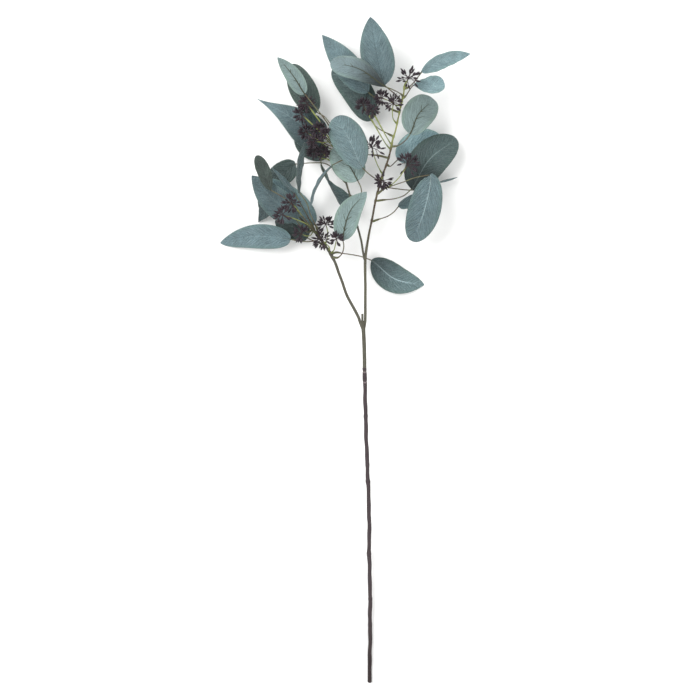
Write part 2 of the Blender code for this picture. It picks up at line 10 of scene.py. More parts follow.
import bmesh
import bpy
import numpy as np
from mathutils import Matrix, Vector


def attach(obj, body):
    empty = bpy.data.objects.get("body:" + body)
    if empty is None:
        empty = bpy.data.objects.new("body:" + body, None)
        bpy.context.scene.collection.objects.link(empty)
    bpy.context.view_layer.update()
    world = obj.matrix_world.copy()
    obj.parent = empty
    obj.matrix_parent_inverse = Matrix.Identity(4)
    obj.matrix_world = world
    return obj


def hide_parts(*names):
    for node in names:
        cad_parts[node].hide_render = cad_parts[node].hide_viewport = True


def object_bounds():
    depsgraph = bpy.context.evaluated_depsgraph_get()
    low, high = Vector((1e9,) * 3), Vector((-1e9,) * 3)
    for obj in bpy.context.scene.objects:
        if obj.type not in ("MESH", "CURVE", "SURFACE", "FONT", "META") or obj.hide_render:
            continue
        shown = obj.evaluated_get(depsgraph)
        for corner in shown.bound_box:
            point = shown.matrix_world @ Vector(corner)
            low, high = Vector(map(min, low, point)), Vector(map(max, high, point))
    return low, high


bl_info = {
    "name": "Seeded Eucalyptus Spray",
    "version": (1, 0, 0),
    "blender": (4, 5, 0),
    "location": "3D View > Sidebar > Spray",
    "description": "Dresses a lying eucalyptus spray with bark, cloth leaves and bud clusters",
    "category": "Object",
}

MM = 0.001
TURN = 2 * math.pi

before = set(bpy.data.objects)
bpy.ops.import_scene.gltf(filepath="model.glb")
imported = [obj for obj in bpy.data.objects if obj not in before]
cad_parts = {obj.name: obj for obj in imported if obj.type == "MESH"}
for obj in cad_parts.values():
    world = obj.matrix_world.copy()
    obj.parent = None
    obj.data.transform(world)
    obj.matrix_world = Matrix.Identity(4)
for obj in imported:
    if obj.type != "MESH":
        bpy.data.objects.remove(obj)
CAD_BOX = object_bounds()

STEMS = ("main_stem", "fork_stem", "leader", "left_branch", "middle_branch")
LEAVES = sorted(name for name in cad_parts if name.startswith("leaf_"))
UMBELS = sorted(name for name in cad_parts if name.startswith("umbel_"))

# How each leaf is coloured: the cloth that faces up, how light it is at its petiole and at its tip, how warm
# it is (below nought is bluer), whether its midrib shows as a dark line (below nought) or a pale one, and how
# far its veins are pressed in. The lightness is partly each leaf's own tone and partly painted light and
# shade: darker where a leaf lies under others, lighter where a leaf lies in the spray's own shadow. The
# darker cloth of the shaded leaves is painted shade too. A "sage" leaf is turned, with its underside up.
DYE_AND_SHADE = {
    "leaf_top_tall": ("blue", 0.74, 1.0, 0.0, -0.5, 1.0),
    "leaf_top_left": ("blue", 0.9, 1.1, 0.0, 0.1, 1.0),
    "leaf_top_turned": ("sage", 0.12, 0.95, -0.3, -0.4, 1.0),
    "leaf_top_under": ("deep", 0.8, 1.1, 0.15, 0.1, 1.0),
    "leaf_tip_long": ("blue", 1.8, 2.0, 0.05, 0.05, 1.0),
    "leaf_tip_small": ("blue", 1.6, 1.75, 0.05, 0.05, 1.0),
    "leaf_right_turned": ("sage", 1.0, 0.78, 0.1, 0.0, 1.0),
    "leaf_right_back": ("blue", 2.0, 2.9, 0.0, 0.1, 1.0),
    "leaf_right_broad": ("deep", 0.42, 1.05, 0.1, 0.5, 2.0),
    "leaf_right_hanging": ("blue", 1.05, 1.0, 0.0, 0.5, 2.6),
    "leaf_centre_front": ("blue", 1.15, 1.1, 0.15, 0.2, 1.3),
    "leaf_centre_under": ("sage", 1.25, 1.15, 0.2, 0.0, 1.0),
    "leaf_centre_lower": ("sage", 1.15, 1.15, 0.1, 0.0, 1.0),
    "leaf_low_right": ("deep", 0.7, 1.75, -0.15, 0.7, 1.6),
    "leaf_low_left": ("blue", 1.08, 1.1, -0.05, 0.1, 1.0),
    "leaf_left_front": ("blue", 0.6, 0.74, 0.0, 0.1, 1.5),
    "leaf_left_wide": ("blue", 1.2, 1.4, 0.0, 0.1, 1.0),
    "leaf_left_hanging": ("blue", 0.5, 0.42, 0.25, -0.1, 1.0),
    "leaf_left_striped": ("deep", 0.75, 0.75, 0.3, -0.3, 1.6),
    "leaf_left_upright": ("deep", 0.5, 0.55, 0.8, -0.3, 1.0),
    "leaf_left_lower": ("deep", 0.6, 0.6, 0.4, 0.2, 1.0),
    "leaf_left_blade": ("blue", 0.75, 0.8, 0.4, -0.2, 1.0),
    "leaf_left_edge": ("blue", 0.85, 0.85, 0.0, -0.1, 1.0),
    "leaf_middle_twisted": ("deep", 0.9, 1.1, 0.0, 0.1, 1.0),
    "leaf_upper_turned": ("sage", 1.0, 1.02, 0.1, -0.2, 1.0),
    "leaf_upper_long": ("blue", 0.4, 1.1, 0.0, 0.2, 1.0),
    "leaf_upper_back": ("deep", 0.85, 0.9, 0.6, -0.2, 1.0),
    "leaf_upper_under": ("deep", 0.6, 0.7, 0.2, 0.1, 1.0),
}
PLAIN_DYE_AND_SHADE = ("blue", 1.0, 1.0, 0.0, 0.15, 1.0)

# How the solids are built up, for reading the finer shapes back from them.
STEM_CORNERS = 8
LEAF_CORNERS = 6
PETIOLE_RINGS = 5
BLADE_RINGS = 10
CROWN_CORNER = 0.42
BUD_CORNERS = 5
BUD_COUNT = 11
BELLY_SHARE = 0.68
LEAST_BELLY = 1.4 * MM
STALK_RADIUS = 0.75 * MM

# Places between two rings when a line is made smooth.
LEAF_SPAN = 8
STEM_SPAN = 4

# The cloth blade: rows from petiole to tip, columns from the midrib to one edge, waves of the edge as
# (radians along the leaf, times the leaf's own shift, share of the height), how the side veins slant, bow and
# are set off from one half to the other, and how high the cloth puffs, creases and swells.
BLADE_ROWS = 96
BLADE_COLUMNS = 14
EDGE_WAVES = ((15, 1, 0.6), (31, 2, 0.4))
VEIN_SLANT = 1.4
VEIN_BOW = 12.0
VEIN_OFFSET = 0.35
PUFF = 0.26 * MM
CREASE = 0.45 * MM
SWELL = 0.5 * MM

# The petiole's thinnest radius and what its sleeve adds, the radii of the midrib and of a side rib from start
# to end, where side ribs start (share of the leaf) and how far out they reach (share of the half width), and
# the mark that tells their material that they lie under the leaf.
PETIOLE_RADIUS = 0.66 * MM
LEAF_SLEEVE = 0.74 * MM
RIB_RADII = (0.78 * MM, 0.24 * MM)
SIDE_RIB_RADII = (0.38 * MM, 0.16 * MM)
SIDE_RIBS = ((0.2, 0.2), (0.36, 0.34), (0.58, 0.26))
SIDE_RIB_LEFT_OUT = 0.25
UNDER_LEAF = 1.2

# The bark: its steps along the stem and sides round it, where each worn ring of the collar starts, is palest
# and ends, counted from the cut end, and its waves as (length over a radian, shift, height).
BARK_STEP = 1.4 * MM
STEM_SIDES = 28
WORN_RINGS_MM = ((377.4, 378.8, 380.4), (390.4, 391.8, 393.2))
STEM_WAVES = ((7.3 * MM, 0.0, 0.2 * MM), (3.9 * MM, 1.0, 0.14 * MM))
GIRTH_WAVES = ((5.1 * MM, 2.0, 0.12 * MM),)

# How much and how far a twig swells where a leaf or a cluster grows from it, how near that has to be, and
# how far back along its parent a twig starts.
KNUCKLE = 0.45 * MM
KNUCKLE_REACH = 2.4 * MM
KNUCKLE_GAP = 3.2 * MM
LEAD_BACK = 10 * MM
LEAD_PLACES = 8

# The stalk of a cluster: its radius, what its sleeve adds, and the last radii, which make the head.
CLUSTER_STALK = 0.58 * MM
CLUSTER_SLEEVE = 0.45 * MM
HEAD_RADII = (0.75 * MM, 0.95 * MM, 0.8 * MM)

# A bud: its sides and ridges, where its rings lie from its foot to its point, and where it narrows.
BUD_SIDES = 12
BUD_RIDGES = 4
BUD_STEPS = (0.0, 0.05, 0.13, 0.24, 0.36, 0.42, 0.46, 0.55, 0.67, 0.79, 0.89, 0.96)
BUD_NECK = (0.4, 0.44)

# The stage: half the table's side, each lamp as (name, place, size, share of the window light), and the lens.
TABLE_HALF = 4.0
LAMPS = (("window", (-1.6, 1.2, 2.2), 2.2, 1.0), ("fill", (1.9, -0.8, 2.0), 2.6, 0.45))
LENS_MM = 135.0
CAMERA_SHIFT = Vector((6.75 * MM, 1.65 * MM, 30 * MM))
LEAST_HEIGHT = 0.25 * MM


def linear(code):
    """Turn a colour code of six hexadecimal digits into the linear colour that shaders take."""
    parts = [int(code[place : place + 2], 16) / 255 for place in (0, 2, 4)]
    return tuple(part / 12.92 if part <= 0.04045 else ((part + 0.055) / 1.055) ** 2.4 for part in parts)


def colour_setting(name, description, code):
    """Declare one colour that a user may change."""
    limits = {"min": 0.0, "max": 1.0, "size": 3, "subtype": "COLOR"}
    return bpy.props.FloatVectorProperty(name=name, description=description, default=linear(code), **limits)


def length_setting(name, description, millimetres, low, high):
    """Declare one length that a user may change, given in millimetres."""
    limits = {"min": low * MM, "max": high * MM, "subtype": "DISTANCE", "unit": "LENGTH"}
    return bpy.props.FloatProperty(name=name, description=description, default=millimetres * MM, **limits)


class StemSettings(bpy.types.PropertyGroup):
    """Colours and surface of the stem and the twigs."""

    bark: colour_setting("Bark", "Brown of the main stem", "423a3d")
    bark_end: colour_setting("Bark at the cut end", "Darker brown near the cut end", "302829")
    worn: colour_setting("Worn ring", "Pale rings of the collar", "84797b")
    twig: colour_setting("Twig", "Grey green of the fork and the branches", "56554b")
    aged_twig: colour_setting("Aged twig", "Brown of the middle of the leader", "54493f")
    young_twig: colour_setting("Young twig", "Olive of the leader towards its tip", "878d56")
    ridge: length_setting("Ridge height", "Height of the lengthwise ridges of the bark", 0.12, 0.0, 0.4)


class LeafSettings(bpy.types.PropertyGroup):
    """Colours and cloth of the leaves."""

    blue: colour_setting("Blue leaf", "Upper side of the blue-green leaves", "566c71")
    # This darker copy of the blue cloth is painted shade, for the leaves that lie turned from the light or
    # under others.
    deep: colour_setting("Deep leaf", "Upper side of the deep green leaves", "405353")
    sage: colour_setting("Underside", "Pale sage of every underside", "6c7f7e")
    vein: colour_setting("Vein", "Pale veins of the upper side", "96a9ab")
    rib: colour_setting("Rib", "Moulded midrib under a leaf", "3f4233")
    petiole: colour_setting("Petiole", "Brown of the petioles", "58493e")
    thickness: length_setting("Cloth thickness", "Thickness of the stiffened cloth", 0.4, 0.1, 0.8)
    vein_pitch: length_setting("Vein pitch", "Distance between side veins on the midrib", 5.0, 3.0, 20.0)
    wave: length_setting("Edge wave", "Height of the waves along a leaf's edge", 0.7, 0.0, 2.0)


class UmbelSettings(bpy.types.PropertyGroup):
    """Colours and size of the bud clusters."""

    bud: colour_setting("Bud", "Dark purple of the buds", "1f171e")
    pedicel: colour_setting("Pedicel", "Purple of the thin stalks behind the buds", "35282f")
    stalk: colour_setting("Stalk", "Yellow green of the cluster stalks", "858d55")
    belly: length_setting("Bud radius", "Radius of a bud at its widest", 1.35, 0.8, 2.0)
    bud_length: length_setting("Bud length", "Length of a bud without its pedicel", 7.2, 3.0, 9.0)
    forked: bpy.props.FloatProperty(
        name="Forking", description="Share of pedicels that carry three buds", default=0.45, min=0.0, max=1.0
    )


class StageSettings(bpy.types.PropertyGroup):
    """Table, lights and camera."""

    table: colour_setting("Table", "Pale table top", "f4f4f3")
    reach: length_setting("Camera height", "Height of the camera above the spray's middle", 3281, 500, 8000)
    sky: bpy.props.FloatProperty(name="Room light", description="Strength of the room light", default=0.75)
    key: bpy.props.FloatProperty(name="Window light", description="Power of the large lamp", default=95.0)


# Reading the solids


def unit(vectors):
    """Return the vectors at length one."""
    return vectors / np.maximum(np.linalg.norm(vectors, axis=-1, keepdims=True), 1e-12)


def welded(node):
    """Return a solid's corners, the corners joined to each, and its triangles."""
    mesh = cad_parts[node].data
    places = np.array([corner.co for corner in mesh.vertices])
    _, first, same = np.unique(np.round(places, 6), axis=0, return_index=True, return_inverse=True)
    same = same.ravel()
    triangles = [[int(same[corner]) for corner in face.vertices] for face in mesh.polygons]
    links = [set() for _ in first]
    for triangle in triangles:
        for corner in triangle:
            links[corner].update(other for other in triangle if other != corner)
    return places[first], links, triangles


def layers_from(links, start):
    """Return the corners in layers, each one edge further from the corners in start."""
    seen = set(start)
    layers = [sorted(start)]
    while True:
        reached = {other for corner in layers[-1] for other in links[corner]} - seen
        if not reached:
            return layers
        seen |= reached
        layers.append(sorted(reached))


def sides_of(triangle):
    """Return the three sides of a triangle, each as its pair of corners."""
    return [frozenset((triangle[side], triangle[side - 1])) for side in range(3)]


def flat_rings(places, triangles, count):
    """Return the corners of each flat end of a solid that has count corners on a circle."""
    first, second, third = (places[[triangle[corner] for triangle in triangles]] for corner in range(3))
    normals = unit(np.cross(second - first, third - first))
    beside = {}
    for index, triangle in enumerate(triangles):
        for side in sides_of(triangle):
            beside.setdefault(side, []).append(index)
    found = []
    left = set(range(len(triangles)))
    while left:
        patch = [left.pop()]
        for index in patch:
            for other in (other for side in sides_of(triangles[index]) for other in beside[side]):
                if other in left and normals[index] @ normals[other] > 0.9998:
                    left.discard(other)
                    patch.append(other)
        joined = sorted({corner for index in patch for corner in triangles[index]})
        if len(joined) == count:
            radii = ring_radii(places[joined])
            if np.ptp(radii) < 0.06 * radii.mean():
                found.append(joined)
    return found


def ring_radii(ring):
    """Return how far each corner of a ring is from the ring's middle."""
    return np.linalg.norm(ring - ring.mean(0), axis=1)


def read_tube(node):
    """Return the ring centres and radii of a round tube, from one end to the other."""
    places, links, triangles = welded(node)
    for end in flat_rings(places, triangles, STEM_CORNERS):
        rings = [places[ring] for ring in layers_from(links, end)]
        if all(len(ring) == STEM_CORNERS for ring in rings):
            centres = np.array([ring.mean(0) for ring in rings])
            radii = np.array([ring_radii(ring).mean() for ring in rings])
            way = -1 if centres[0][1] > centres[-1][1] else 1
            return centres[::way], radii[::way]
    raise RuntimeError(f"{node} has no round end to start from")


def blend(low, high, start, end, place):
    """Return the point between start and end that lies as place does between low and high."""
    return ((high - place) * start + (place - low) * end) / (high - low)


def smooth_route(points, per_span):
    """Return places on a smooth curve through points, with per_span places in each span."""
    points = np.array(points, float)
    ends = np.vstack([2 * points[0] - points[1], points, 2 * points[-1] - points[-2]])
    places = []
    for index in range(1, len(ends) - 2):
        four = ends[index - 1 : index + 3]
        gaps = np.maximum(np.linalg.norm(np.diff(four, axis=0), axis=1), 1e-9) ** 0.5
        knots = [0.0, *np.cumsum(gaps)]
        for step in range(per_span):
            t = knots[1] + (knots[2] - knots[1]) * step / per_span
            three = [blend(knots[i], knots[i + 1], four[i], four[i + 1], t) for i in range(3)]
            two = [blend(knots[i], knots[i + 2], three[i], three[i + 1], t) for i in range(2)]
            places.append(blend(knots[1], knots[2], two[0], two[1], t))
    places.append(points[-1])
    return np.array(places)


def distances_along(places):
    """Return how far each place is along its route."""
    return np.concatenate([[0.0], np.cumsum(np.linalg.norm(np.diff(places, axis=0), axis=1))])


def spread_along(distances, places, wanted):
    """Return the places at the wanted distances along a route."""
    return np.stack([np.interp(wanted, distances, places[:, axis]) for axis in range(3)], axis=-1)


def soft_step(shares):
    """Return shares that ease in and out between nought and one."""
    return shares * shares * (3 - 2 * shares)


def waved(distances, waves):
    """Return the height of waves at distances along a line."""
    return sum(np.sin(distances / pitch + shift) * size for pitch, shift, size in waves)


STEM_LINES = {name: read_tube(name) for name in STEMS}


def toward_stem(place, depth):
    """Return a place that lies depth nearer than place to the closest stem's middle line."""
    points = np.vstack([smooth_route(centres, STEM_SPAN) for centres, _ in STEM_LINES.values()])
    gap = points[np.argmin(np.linalg.norm(points - place, axis=1))] - place
    return place + gap * min(1.0, depth / np.linalg.norm(gap))


def growing_out(name, places):
    """Return places that lead a twig out of the stem it grows from, up to its first place."""
    parents = []
    for other, (centres, _) in STEM_LINES.items():
        if other != name:
            route = smooth_route(centres, 6)
            gaps = np.linalg.norm(route - places[0], axis=1)
            parents.append((gaps.min(), int(np.argmin(gaps)), route))
    _, nearest, route = min(parents, key=lambda parent: parent[0])
    along = distances_along(route)
    inside = spread_along(along, route, max(along[nearest] - LEAD_BACK, 0.0))
    inside = inside + (places[0] - route[nearest]) * 0.25
    return smooth_route([inside, places[0], places[4]], LEAD_PLACES)[:LEAD_PLACES]


class LeafShape:
    """The line, width and set of one leaf, read back from its solid."""

    def __init__(self, node):
        places, links, _ = welded(node)
        layers = self.leaf_layers(places, links)
        petiole_end = 1 + PETIOLE_RINGS
        self.name = node
        self.root = places[layers[0][0]]
        self.tip = places[layers[-1][0]]
        self.petiole = np.array([places[ring].mean(0) for ring in layers[1:petiole_end]])
        rings = [places[ring] for ring in layers[petiole_end:-1]]
        centres, halves, crossings, edges = self.blade_rings(rings)
        route = smooth_route([self.root, *self.petiole, *centres, self.tip], LEAF_SPAN)
        along = distances_along(route)
        start = along[LEAF_SPAN * petiole_end]
        self.length = along[-1] - start
        at_rings = (along[LEAF_SPAN * petiole_end : -LEAF_SPAN : LEAF_SPAN] - start) / self.length
        side, up = self.axes_at(along, route, start + at_rings * self.length)
        heading = np.unwrap(np.arctan2((crossings * up).sum(1), (crossings * side).sum(1)))
        fit = np.polyfit(at_rings[2:], heading[2:], 1)
        if math.cos(np.polyval(fit, 0.5)) < 0:
            fit[1] += math.pi
        wide = (halves > 0.75 * MM) & (at_rings > 0) & (at_rings < 0.985)
        _, normals = self.turned_axes(fit, at_rings, side, up)
        self.cup = float(np.median((edges * normals).sum(1)[wide] / halves[wide]))
        self.shares = np.linspace(0.0, 1.0, 241)
        self.halves = self.outline(at_rings[wide], halves[wide])
        self.width = float(self.halves.max())
        distances = start + self.shares * self.length
        self.centres = spread_along(along, route, distances)
        side, up = self.axes_at(along, route, distances)
        self.across, self.normals = self.turned_axes(fit, self.shares, side, up)
        self.chance = random.Random(node)
        self.phases = [self.chance.uniform(0, TURN) for _ in range(6)]
        self.dye, *self.tones, self.pressed = DYE_AND_SHADE.get(node, PLAIN_DYE_AND_SHADE)
        self.turned = self.dye == "sage"

    @staticmethod
    def leaf_layers(places, links):
        """Return the solid's corners in layers, from the foot of the petiole to the leaf's tip."""
        wanted = [1, *[LEAF_CORNERS] * (PETIOLE_RINGS + BLADE_RINGS), 1]
        ends = [layers_from(links, [corner]) for corner in range(len(places))]
        ends = [layers for layers in ends if [len(layer) for layer in layers] == wanted]
        first = slice(1, 1 + PETIOLE_RINGS)
        return min(ends, key=lambda layers: sum(np.ptp(places[ring], axis=0).max() for ring in layers[first]))

    @staticmethod
    def blade_rings(rings):
        """Return each ring's centre, half width, direction across, and how high its edges stand."""
        centres, halves, crossings, edges = [], [], [], []
        for ring in rings:
            gaps = np.linalg.norm(ring[:, None] - ring[None], axis=2)
            one, two = np.unravel_index(np.argmax(gaps), gaps.shape)
            inner = np.delete(ring, [one, two], axis=0).mean(0)
            across = ring[one] - ring[two]
            if crossings and across @ crossings[-1] < 0:
                across = -across
            halves.append(np.linalg.norm(across) / 2)
            crossings.append(unit(across))
            edges.append(((ring[one] + ring[two]) / 2 - inner) / (1 - CROWN_CORNER**2))
            centres.append(inner - edges[-1] * CROWN_CORNER**2)
        return centres, np.array(halves), np.array(crossings), np.array(edges)

    @staticmethod
    def axes_at(along, route, distances):
        """Return the level direction across a route and the one above it, at the given distances."""
        ahead = spread_along(along, route, np.minimum(distances + 0.8 * MM, along[-1]))
        behind = spread_along(along, route, np.maximum(distances - 0.8 * MM, 0.0))
        forward = unit(ahead - behind)
        side = unit(np.cross((0, 0, 1), forward))
        return side, np.cross(forward, side)

    @staticmethod
    def turned_axes(fit, shares, side, up):
        """Return the directions across and off the cloth, turned round its line by the fitted heading."""
        heading = np.polyval(fit, shares)[:, None]
        return np.cos(heading) * side + np.sin(heading) * up, np.cos(heading) * up - np.sin(heading) * side

    def outline(self, at_rings, halves):
        """Return the half width at every share of the length, from a smooth outline through the rings."""
        table = np.stack([np.ones_like(at_rings), np.log(at_rings), np.log(1 - at_rings)], -1)
        scale, base_power, tip_power = np.linalg.lstsq(table, np.log(halves), rcond=None)[0]
        return math.exp(scale) * (self.shares**base_power * (1 - self.shares) ** tip_power)

    def half_at(self, shares):
        """Return the half width at shares of the length."""
        return np.interp(shares, self.shares, self.halves)

    def lift(self, shares, across, settings):
        """Return how far the cloth stands off its middle line, for places given as shares."""
        half = self.half_at(shares)
        fullness = half / self.width
        out = np.abs(across)
        one, _, three, four, five, six = self.phases
        sides = np.where(across < 0, three, four)
        wave = sum(np.sin(shares * pace + sides * n + one * (n - 1)) * size for pace, n, size in EDGE_WAVES)
        waves = settings.wave * wave * out**2.5 * fullness
        puffed = (1 - np.cos(self.vein_phase(shares, across, settings) * math.pi)) / 2
        puffs = PUFF * self.pressed * puffed * np.sin(math.pi * np.clip(out, 0, 1)) ** 0.8 * fullness
        middle = np.exp(-((across * half / (1.5 * MM)) ** 2))
        crease = CREASE * middle * np.clip((0.97 - shares) * 4, 0, 1)
        swell = SWELL * np.sin(shares * 7 + five) * np.sin(across * 2.4 + six) * fullness
        facing = -1.0 if self.turned else 1.0
        return self.cup * half * across**2 + waves + (puffs - crease) * facing + swell

    def vein_phase(self, shares, across, settings):
        """Return a count that grows by one from each side vein to the next."""
        out = np.abs(across) * self.half_at(shares)
        reach = shares * self.length - out * VEIN_SLANT - out**2 * VEIN_BOW
        return reach / settings.vein_pitch + np.where(across < 0, VEIN_OFFSET, 0.0)

    def sheet(self, shares, across, off, settings):
        """Return places on the cloth, off metres above its middle."""
        middle = spread_along(self.shares, self.centres, shares)
        side = unit(spread_along(self.shares, self.across, shares))
        normal = unit(spread_along(self.shares, self.normals, shares))
        height = self.lift(shares, across, settings) + off
        return middle + side * (across * self.half_at(shares))[..., None] + normal * height[..., None]


# Making meshes


def add_piece(name, places, faces, materials, nodes=(), numbers=None, facing=None):
    """Add one smooth mesh that rides on the spray and stands for its nodes."""
    places = np.array(places, float)
    places[:, 2] = np.maximum(places[:, 2], LEAST_HEIGHT)
    mesh = bpy.data.meshes.new(name)
    mesh.from_pydata([tuple(place) for place in places], [], faces)
    for material in materials:
        mesh.materials.append(material)
    if facing is not None:
        mesh.polygons.foreach_set("material_index", np.array(facing, np.int32))
    for label, values in (numbers or {}).items():
        attribute = mesh.attributes.new(label, "FLOAT_VECTOR", "POINT")
        attribute.data.foreach_set("vector", np.array(values, np.float32).ravel())
    mesh.polygons.foreach_set("use_smooth", np.ones(len(mesh.polygons), bool))
    shape = bmesh.new()
    shape.from_mesh(mesh)
    bmesh.ops.recalc_face_normals(shape, faces=list(shape.faces))
    shape.to_mesh(mesh)
    shape.free()
    piece = bpy.data.objects.new(name, mesh)
    bpy.context.scene.collection.objects.link(piece)
    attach(piece, "root")
    if nodes:
        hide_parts(*nodes)
    return piece


def circle(centre, one, two, angles, radii):
    """Return places round a centre, in the plane of the directions one and two."""
    return centre + np.outer(np.cos(angles) * radii, one) + np.outer(np.sin(angles) * radii, two)


def round_pairs(count):
    """Return each number below count with the one after it, going round."""
    return [(corner, (corner + 1) % count) for corner in range(count)]


def ring_faces(first, rows, sides):
    """Return the faces that join rows of rings, whose corners are numbered from first."""
    faces = []
    for low in range(first, first + (rows - 1) * sides, sides):
        high = low + sides
        faces += [(low + one, low + two, high + two, high + one) for one, two in round_pairs(sides)]
    return faces


class Growing:
    """A mesh that grows bit by bit, with the numbers and marks of each corner that its material reads."""

    def __init__(self):
        self.places, self.faces, self.numbers, self.marks = [], [], [], []

    def finished(self, name, material, slot, nodes=()):
        """Add the mesh as one piece."""
        numbers = {"grown_place": self.numbers, "grown_mark": self.marks or np.zeros_like(self.numbers)}
        add_piece(name, self.places, self.faces, [material], nodes, numbers)


class Tubes(Growing):
    """Round tubes in one mesh, with where each corner is on its tube."""

    def add(self, line, radii, sides, ridge=0.0, seed=0, marks=0.0):
        """Add one closed tube along line, with lengthwise ridges and a mark for each ring."""
        along = distances_along(line)
        forward = unit(np.gradient(line, axis=0))
        side = np.cross(forward[0], (0.0, 0.0, 1.0))
        if np.linalg.norm(side) < 0.1:
            side = np.cross(forward[0], (0.0, 1.0, 0.0))
        first = len(self.places)
        angles = np.arange(sides) * TURN / sides
        chance = random.Random(seed)
        waves = []
        for _ in range(4):
            waves.append((chance.choice((3, 4, 5, 7)), chance.uniform(0, 6.3), chance.uniform(-90, 90)))
        for centre, ahead, distance, radius in zip(line, forward, along, radii):
            side = unit(side - ahead * (side @ ahead))
            rough = sum(np.sin(count * angles + shift + turn * distance) for count, shift, turn in waves) / 4
            self.places.extend(circle(centre, side, np.cross(ahead, side), angles, radius + ridge * rough))
            flat = np.array((0.0, 0.0, distance / MM))
            self.numbers.extend(circle(flat, (1, 0, 0), (0, 1, 0), angles, radius / MM))
        self.faces += ring_faces(first, len(line), sides)
        for row, way in ((0, -1), (len(line) - 1, 1)):
            tip = len(self.places)
            low = first + row * sides
            self.places.append(line[row] + forward[row] * way * radii[row] * 0.25)
            self.numbers.append((0.0, 0.0, along[row] / MM))
            self.faces += [(tip, low + one, low + two) for one, two in round_pairs(sides)]
        marks = np.broadcast_to(marks, len(line))
        self.marks += [(mark, 0, 0) for mark in (*np.repeat(marks, sides), marks[-1], marks[-1])]


# Making materials


class Finish:
    """The nodes of one material, added and linked in turn."""

    def __init__(self, name, roughness, specular, sheen=0.0, coat=0.0):
        self.material = bpy.data.materials.new(name)
        self.material.use_nodes = True
        self.tree = self.material.node_tree
        self.tree.nodes.clear()
        output = self.tree.nodes.new("ShaderNodeOutputMaterial")
        self.shader = self.tree.nodes.new("ShaderNodeBsdfPrincipled")
        self.tree.links.new(self.shader.outputs["BSDF"], output.inputs["Surface"])
        for label, value in (
            ("Roughness", roughness),
            ("Specular IOR Level", specular),
            ("Sheen Weight", sheen),
            ("Sheen Roughness", 0.5),
            ("Coat Weight", coat),
            ("Coat Roughness", 0.3),
        ):
            self.shader.inputs[label].default_value = value

    def feed(self, socket, value):
        """Link a socket to another, or set its value."""
        if isinstance(value, bpy.types.NodeSocket):
            self.tree.links.new(value, socket)
        elif isinstance(value, tuple) and len(value) == 3 and socket.type == "RGBA":
            socket.default_value = (*value, 1.0)
        else:
            socket.default_value = value

    def node(self, kind, inputs=(), **choices):
        """Add one node, make its choices and feed its inputs, which go by name or by place."""
        made = self.tree.nodes.new(kind)
        for label, value in choices.items():
            setattr(made, label, value)
        for label, value in dict(inputs).items():
            self.feed(made.inputs[label], value)
        return made

    def number(self, operation, one, two=0.5, three=0.5):
        """Add one Math node and return its value."""
        return self.node("ShaderNodeMath", enumerate((one, two, three)), operation=operation).outputs[0]

    def times(self, one, two):
        """Multiply two values."""
        return self.number("MULTIPLY", one, two)

    def spread(self, value, low, high, to_low=0.0, to_high=1.0, kind="SMOOTHSTEP"):
        """Map a value from one range to another, easing in and out."""
        values = enumerate((value, low, high, to_low, to_high))
        return self.node("ShaderNodeMapRange", values, interpolation_type=kind).outputs["Result"]

    def line(self, value, low, high, to_low=0.0, to_high=1.0):
        """Map a value from one range to another in a straight line."""
        return self.spread(value, low, high, to_low, to_high, "LINEAR")

    def mix(self, share, one, two, blend_type="MIX"):
        """Mix two colours."""
        made = self.node("ShaderNodeMix", data_type="RGBA", blend_type=blend_type)
        for place, value in (("Factor", share), (6, one), (7, two)):
            self.feed(made.inputs[place], value)
        return made.outputs[2]

    def over(self, colour, layers):
        """Lay (share, colour) layers over a colour, one on the other."""
        for share, layer in layers:
            colour = self.mix(share, colour, layer)
        return colour

    def joined(self, *parts):
        """Join three values into one vector."""
        return self.node("ShaderNodeCombineXYZ", enumerate(parts)).outputs[0]

    def numbers(self, label):
        """Return the three parts of a mesh's own numbers, and the whole."""
        made = self.node("ShaderNodeAttribute", attribute_name=label)
        parts = self.node("ShaderNodeSeparateXYZ", {"Vector": made.outputs["Vector"]})
        return parts.outputs[0], parts.outputs[1], parts.outputs[2], made.outputs["Vector"]

    def scaled(self, vector, size):
        """Stretch a vector by size along each axis."""
        return self.node("ShaderNodeMapping", {"Vector": vector, "Scale": size}).outputs["Vector"]

    def noise(self, vector, scale, detail=2.0, roughness=0.5):
        """Return a noise between nought and one."""
        settings = {"Vector": vector, "Scale": scale, "Detail": detail, "Roughness": roughness}
        return self.node("ShaderNodeTexNoise", settings).outputs["Fac"]

    def grain(self, vector, size, detail=2.0, roughness=0.5):
        """Return a noise stretched by size along each axis."""
        return self.noise(self.scaled(vector, size), 1.0, detail, roughness)

    def done(self, colour, rough, *relief):
        """Feed the colour, the roughness as (value, low, high) and the relief as (height, millimetres)."""
        self.feed(self.shader.inputs["Base Color"], colour)
        if rough:
            value, low, high = rough
            self.feed(self.shader.inputs["Roughness"], self.line(value, 0.3, 0.7, low, high))
        under = {}
        for height, depth in relief:
            bump = {"Height": height, "Distance": depth * MM, "Strength": 1.0, **under}
            under = {"Normal": self.node("ShaderNodeBump", bump).outputs["Normal"]}
        self.feed(self.shader.inputs["Normal"], under["Normal"])
        return self.material


def tinted(colour, share):
    """Return a colour made lighter or darker."""
    return tuple(min(1.0, part * share) for part in colour)


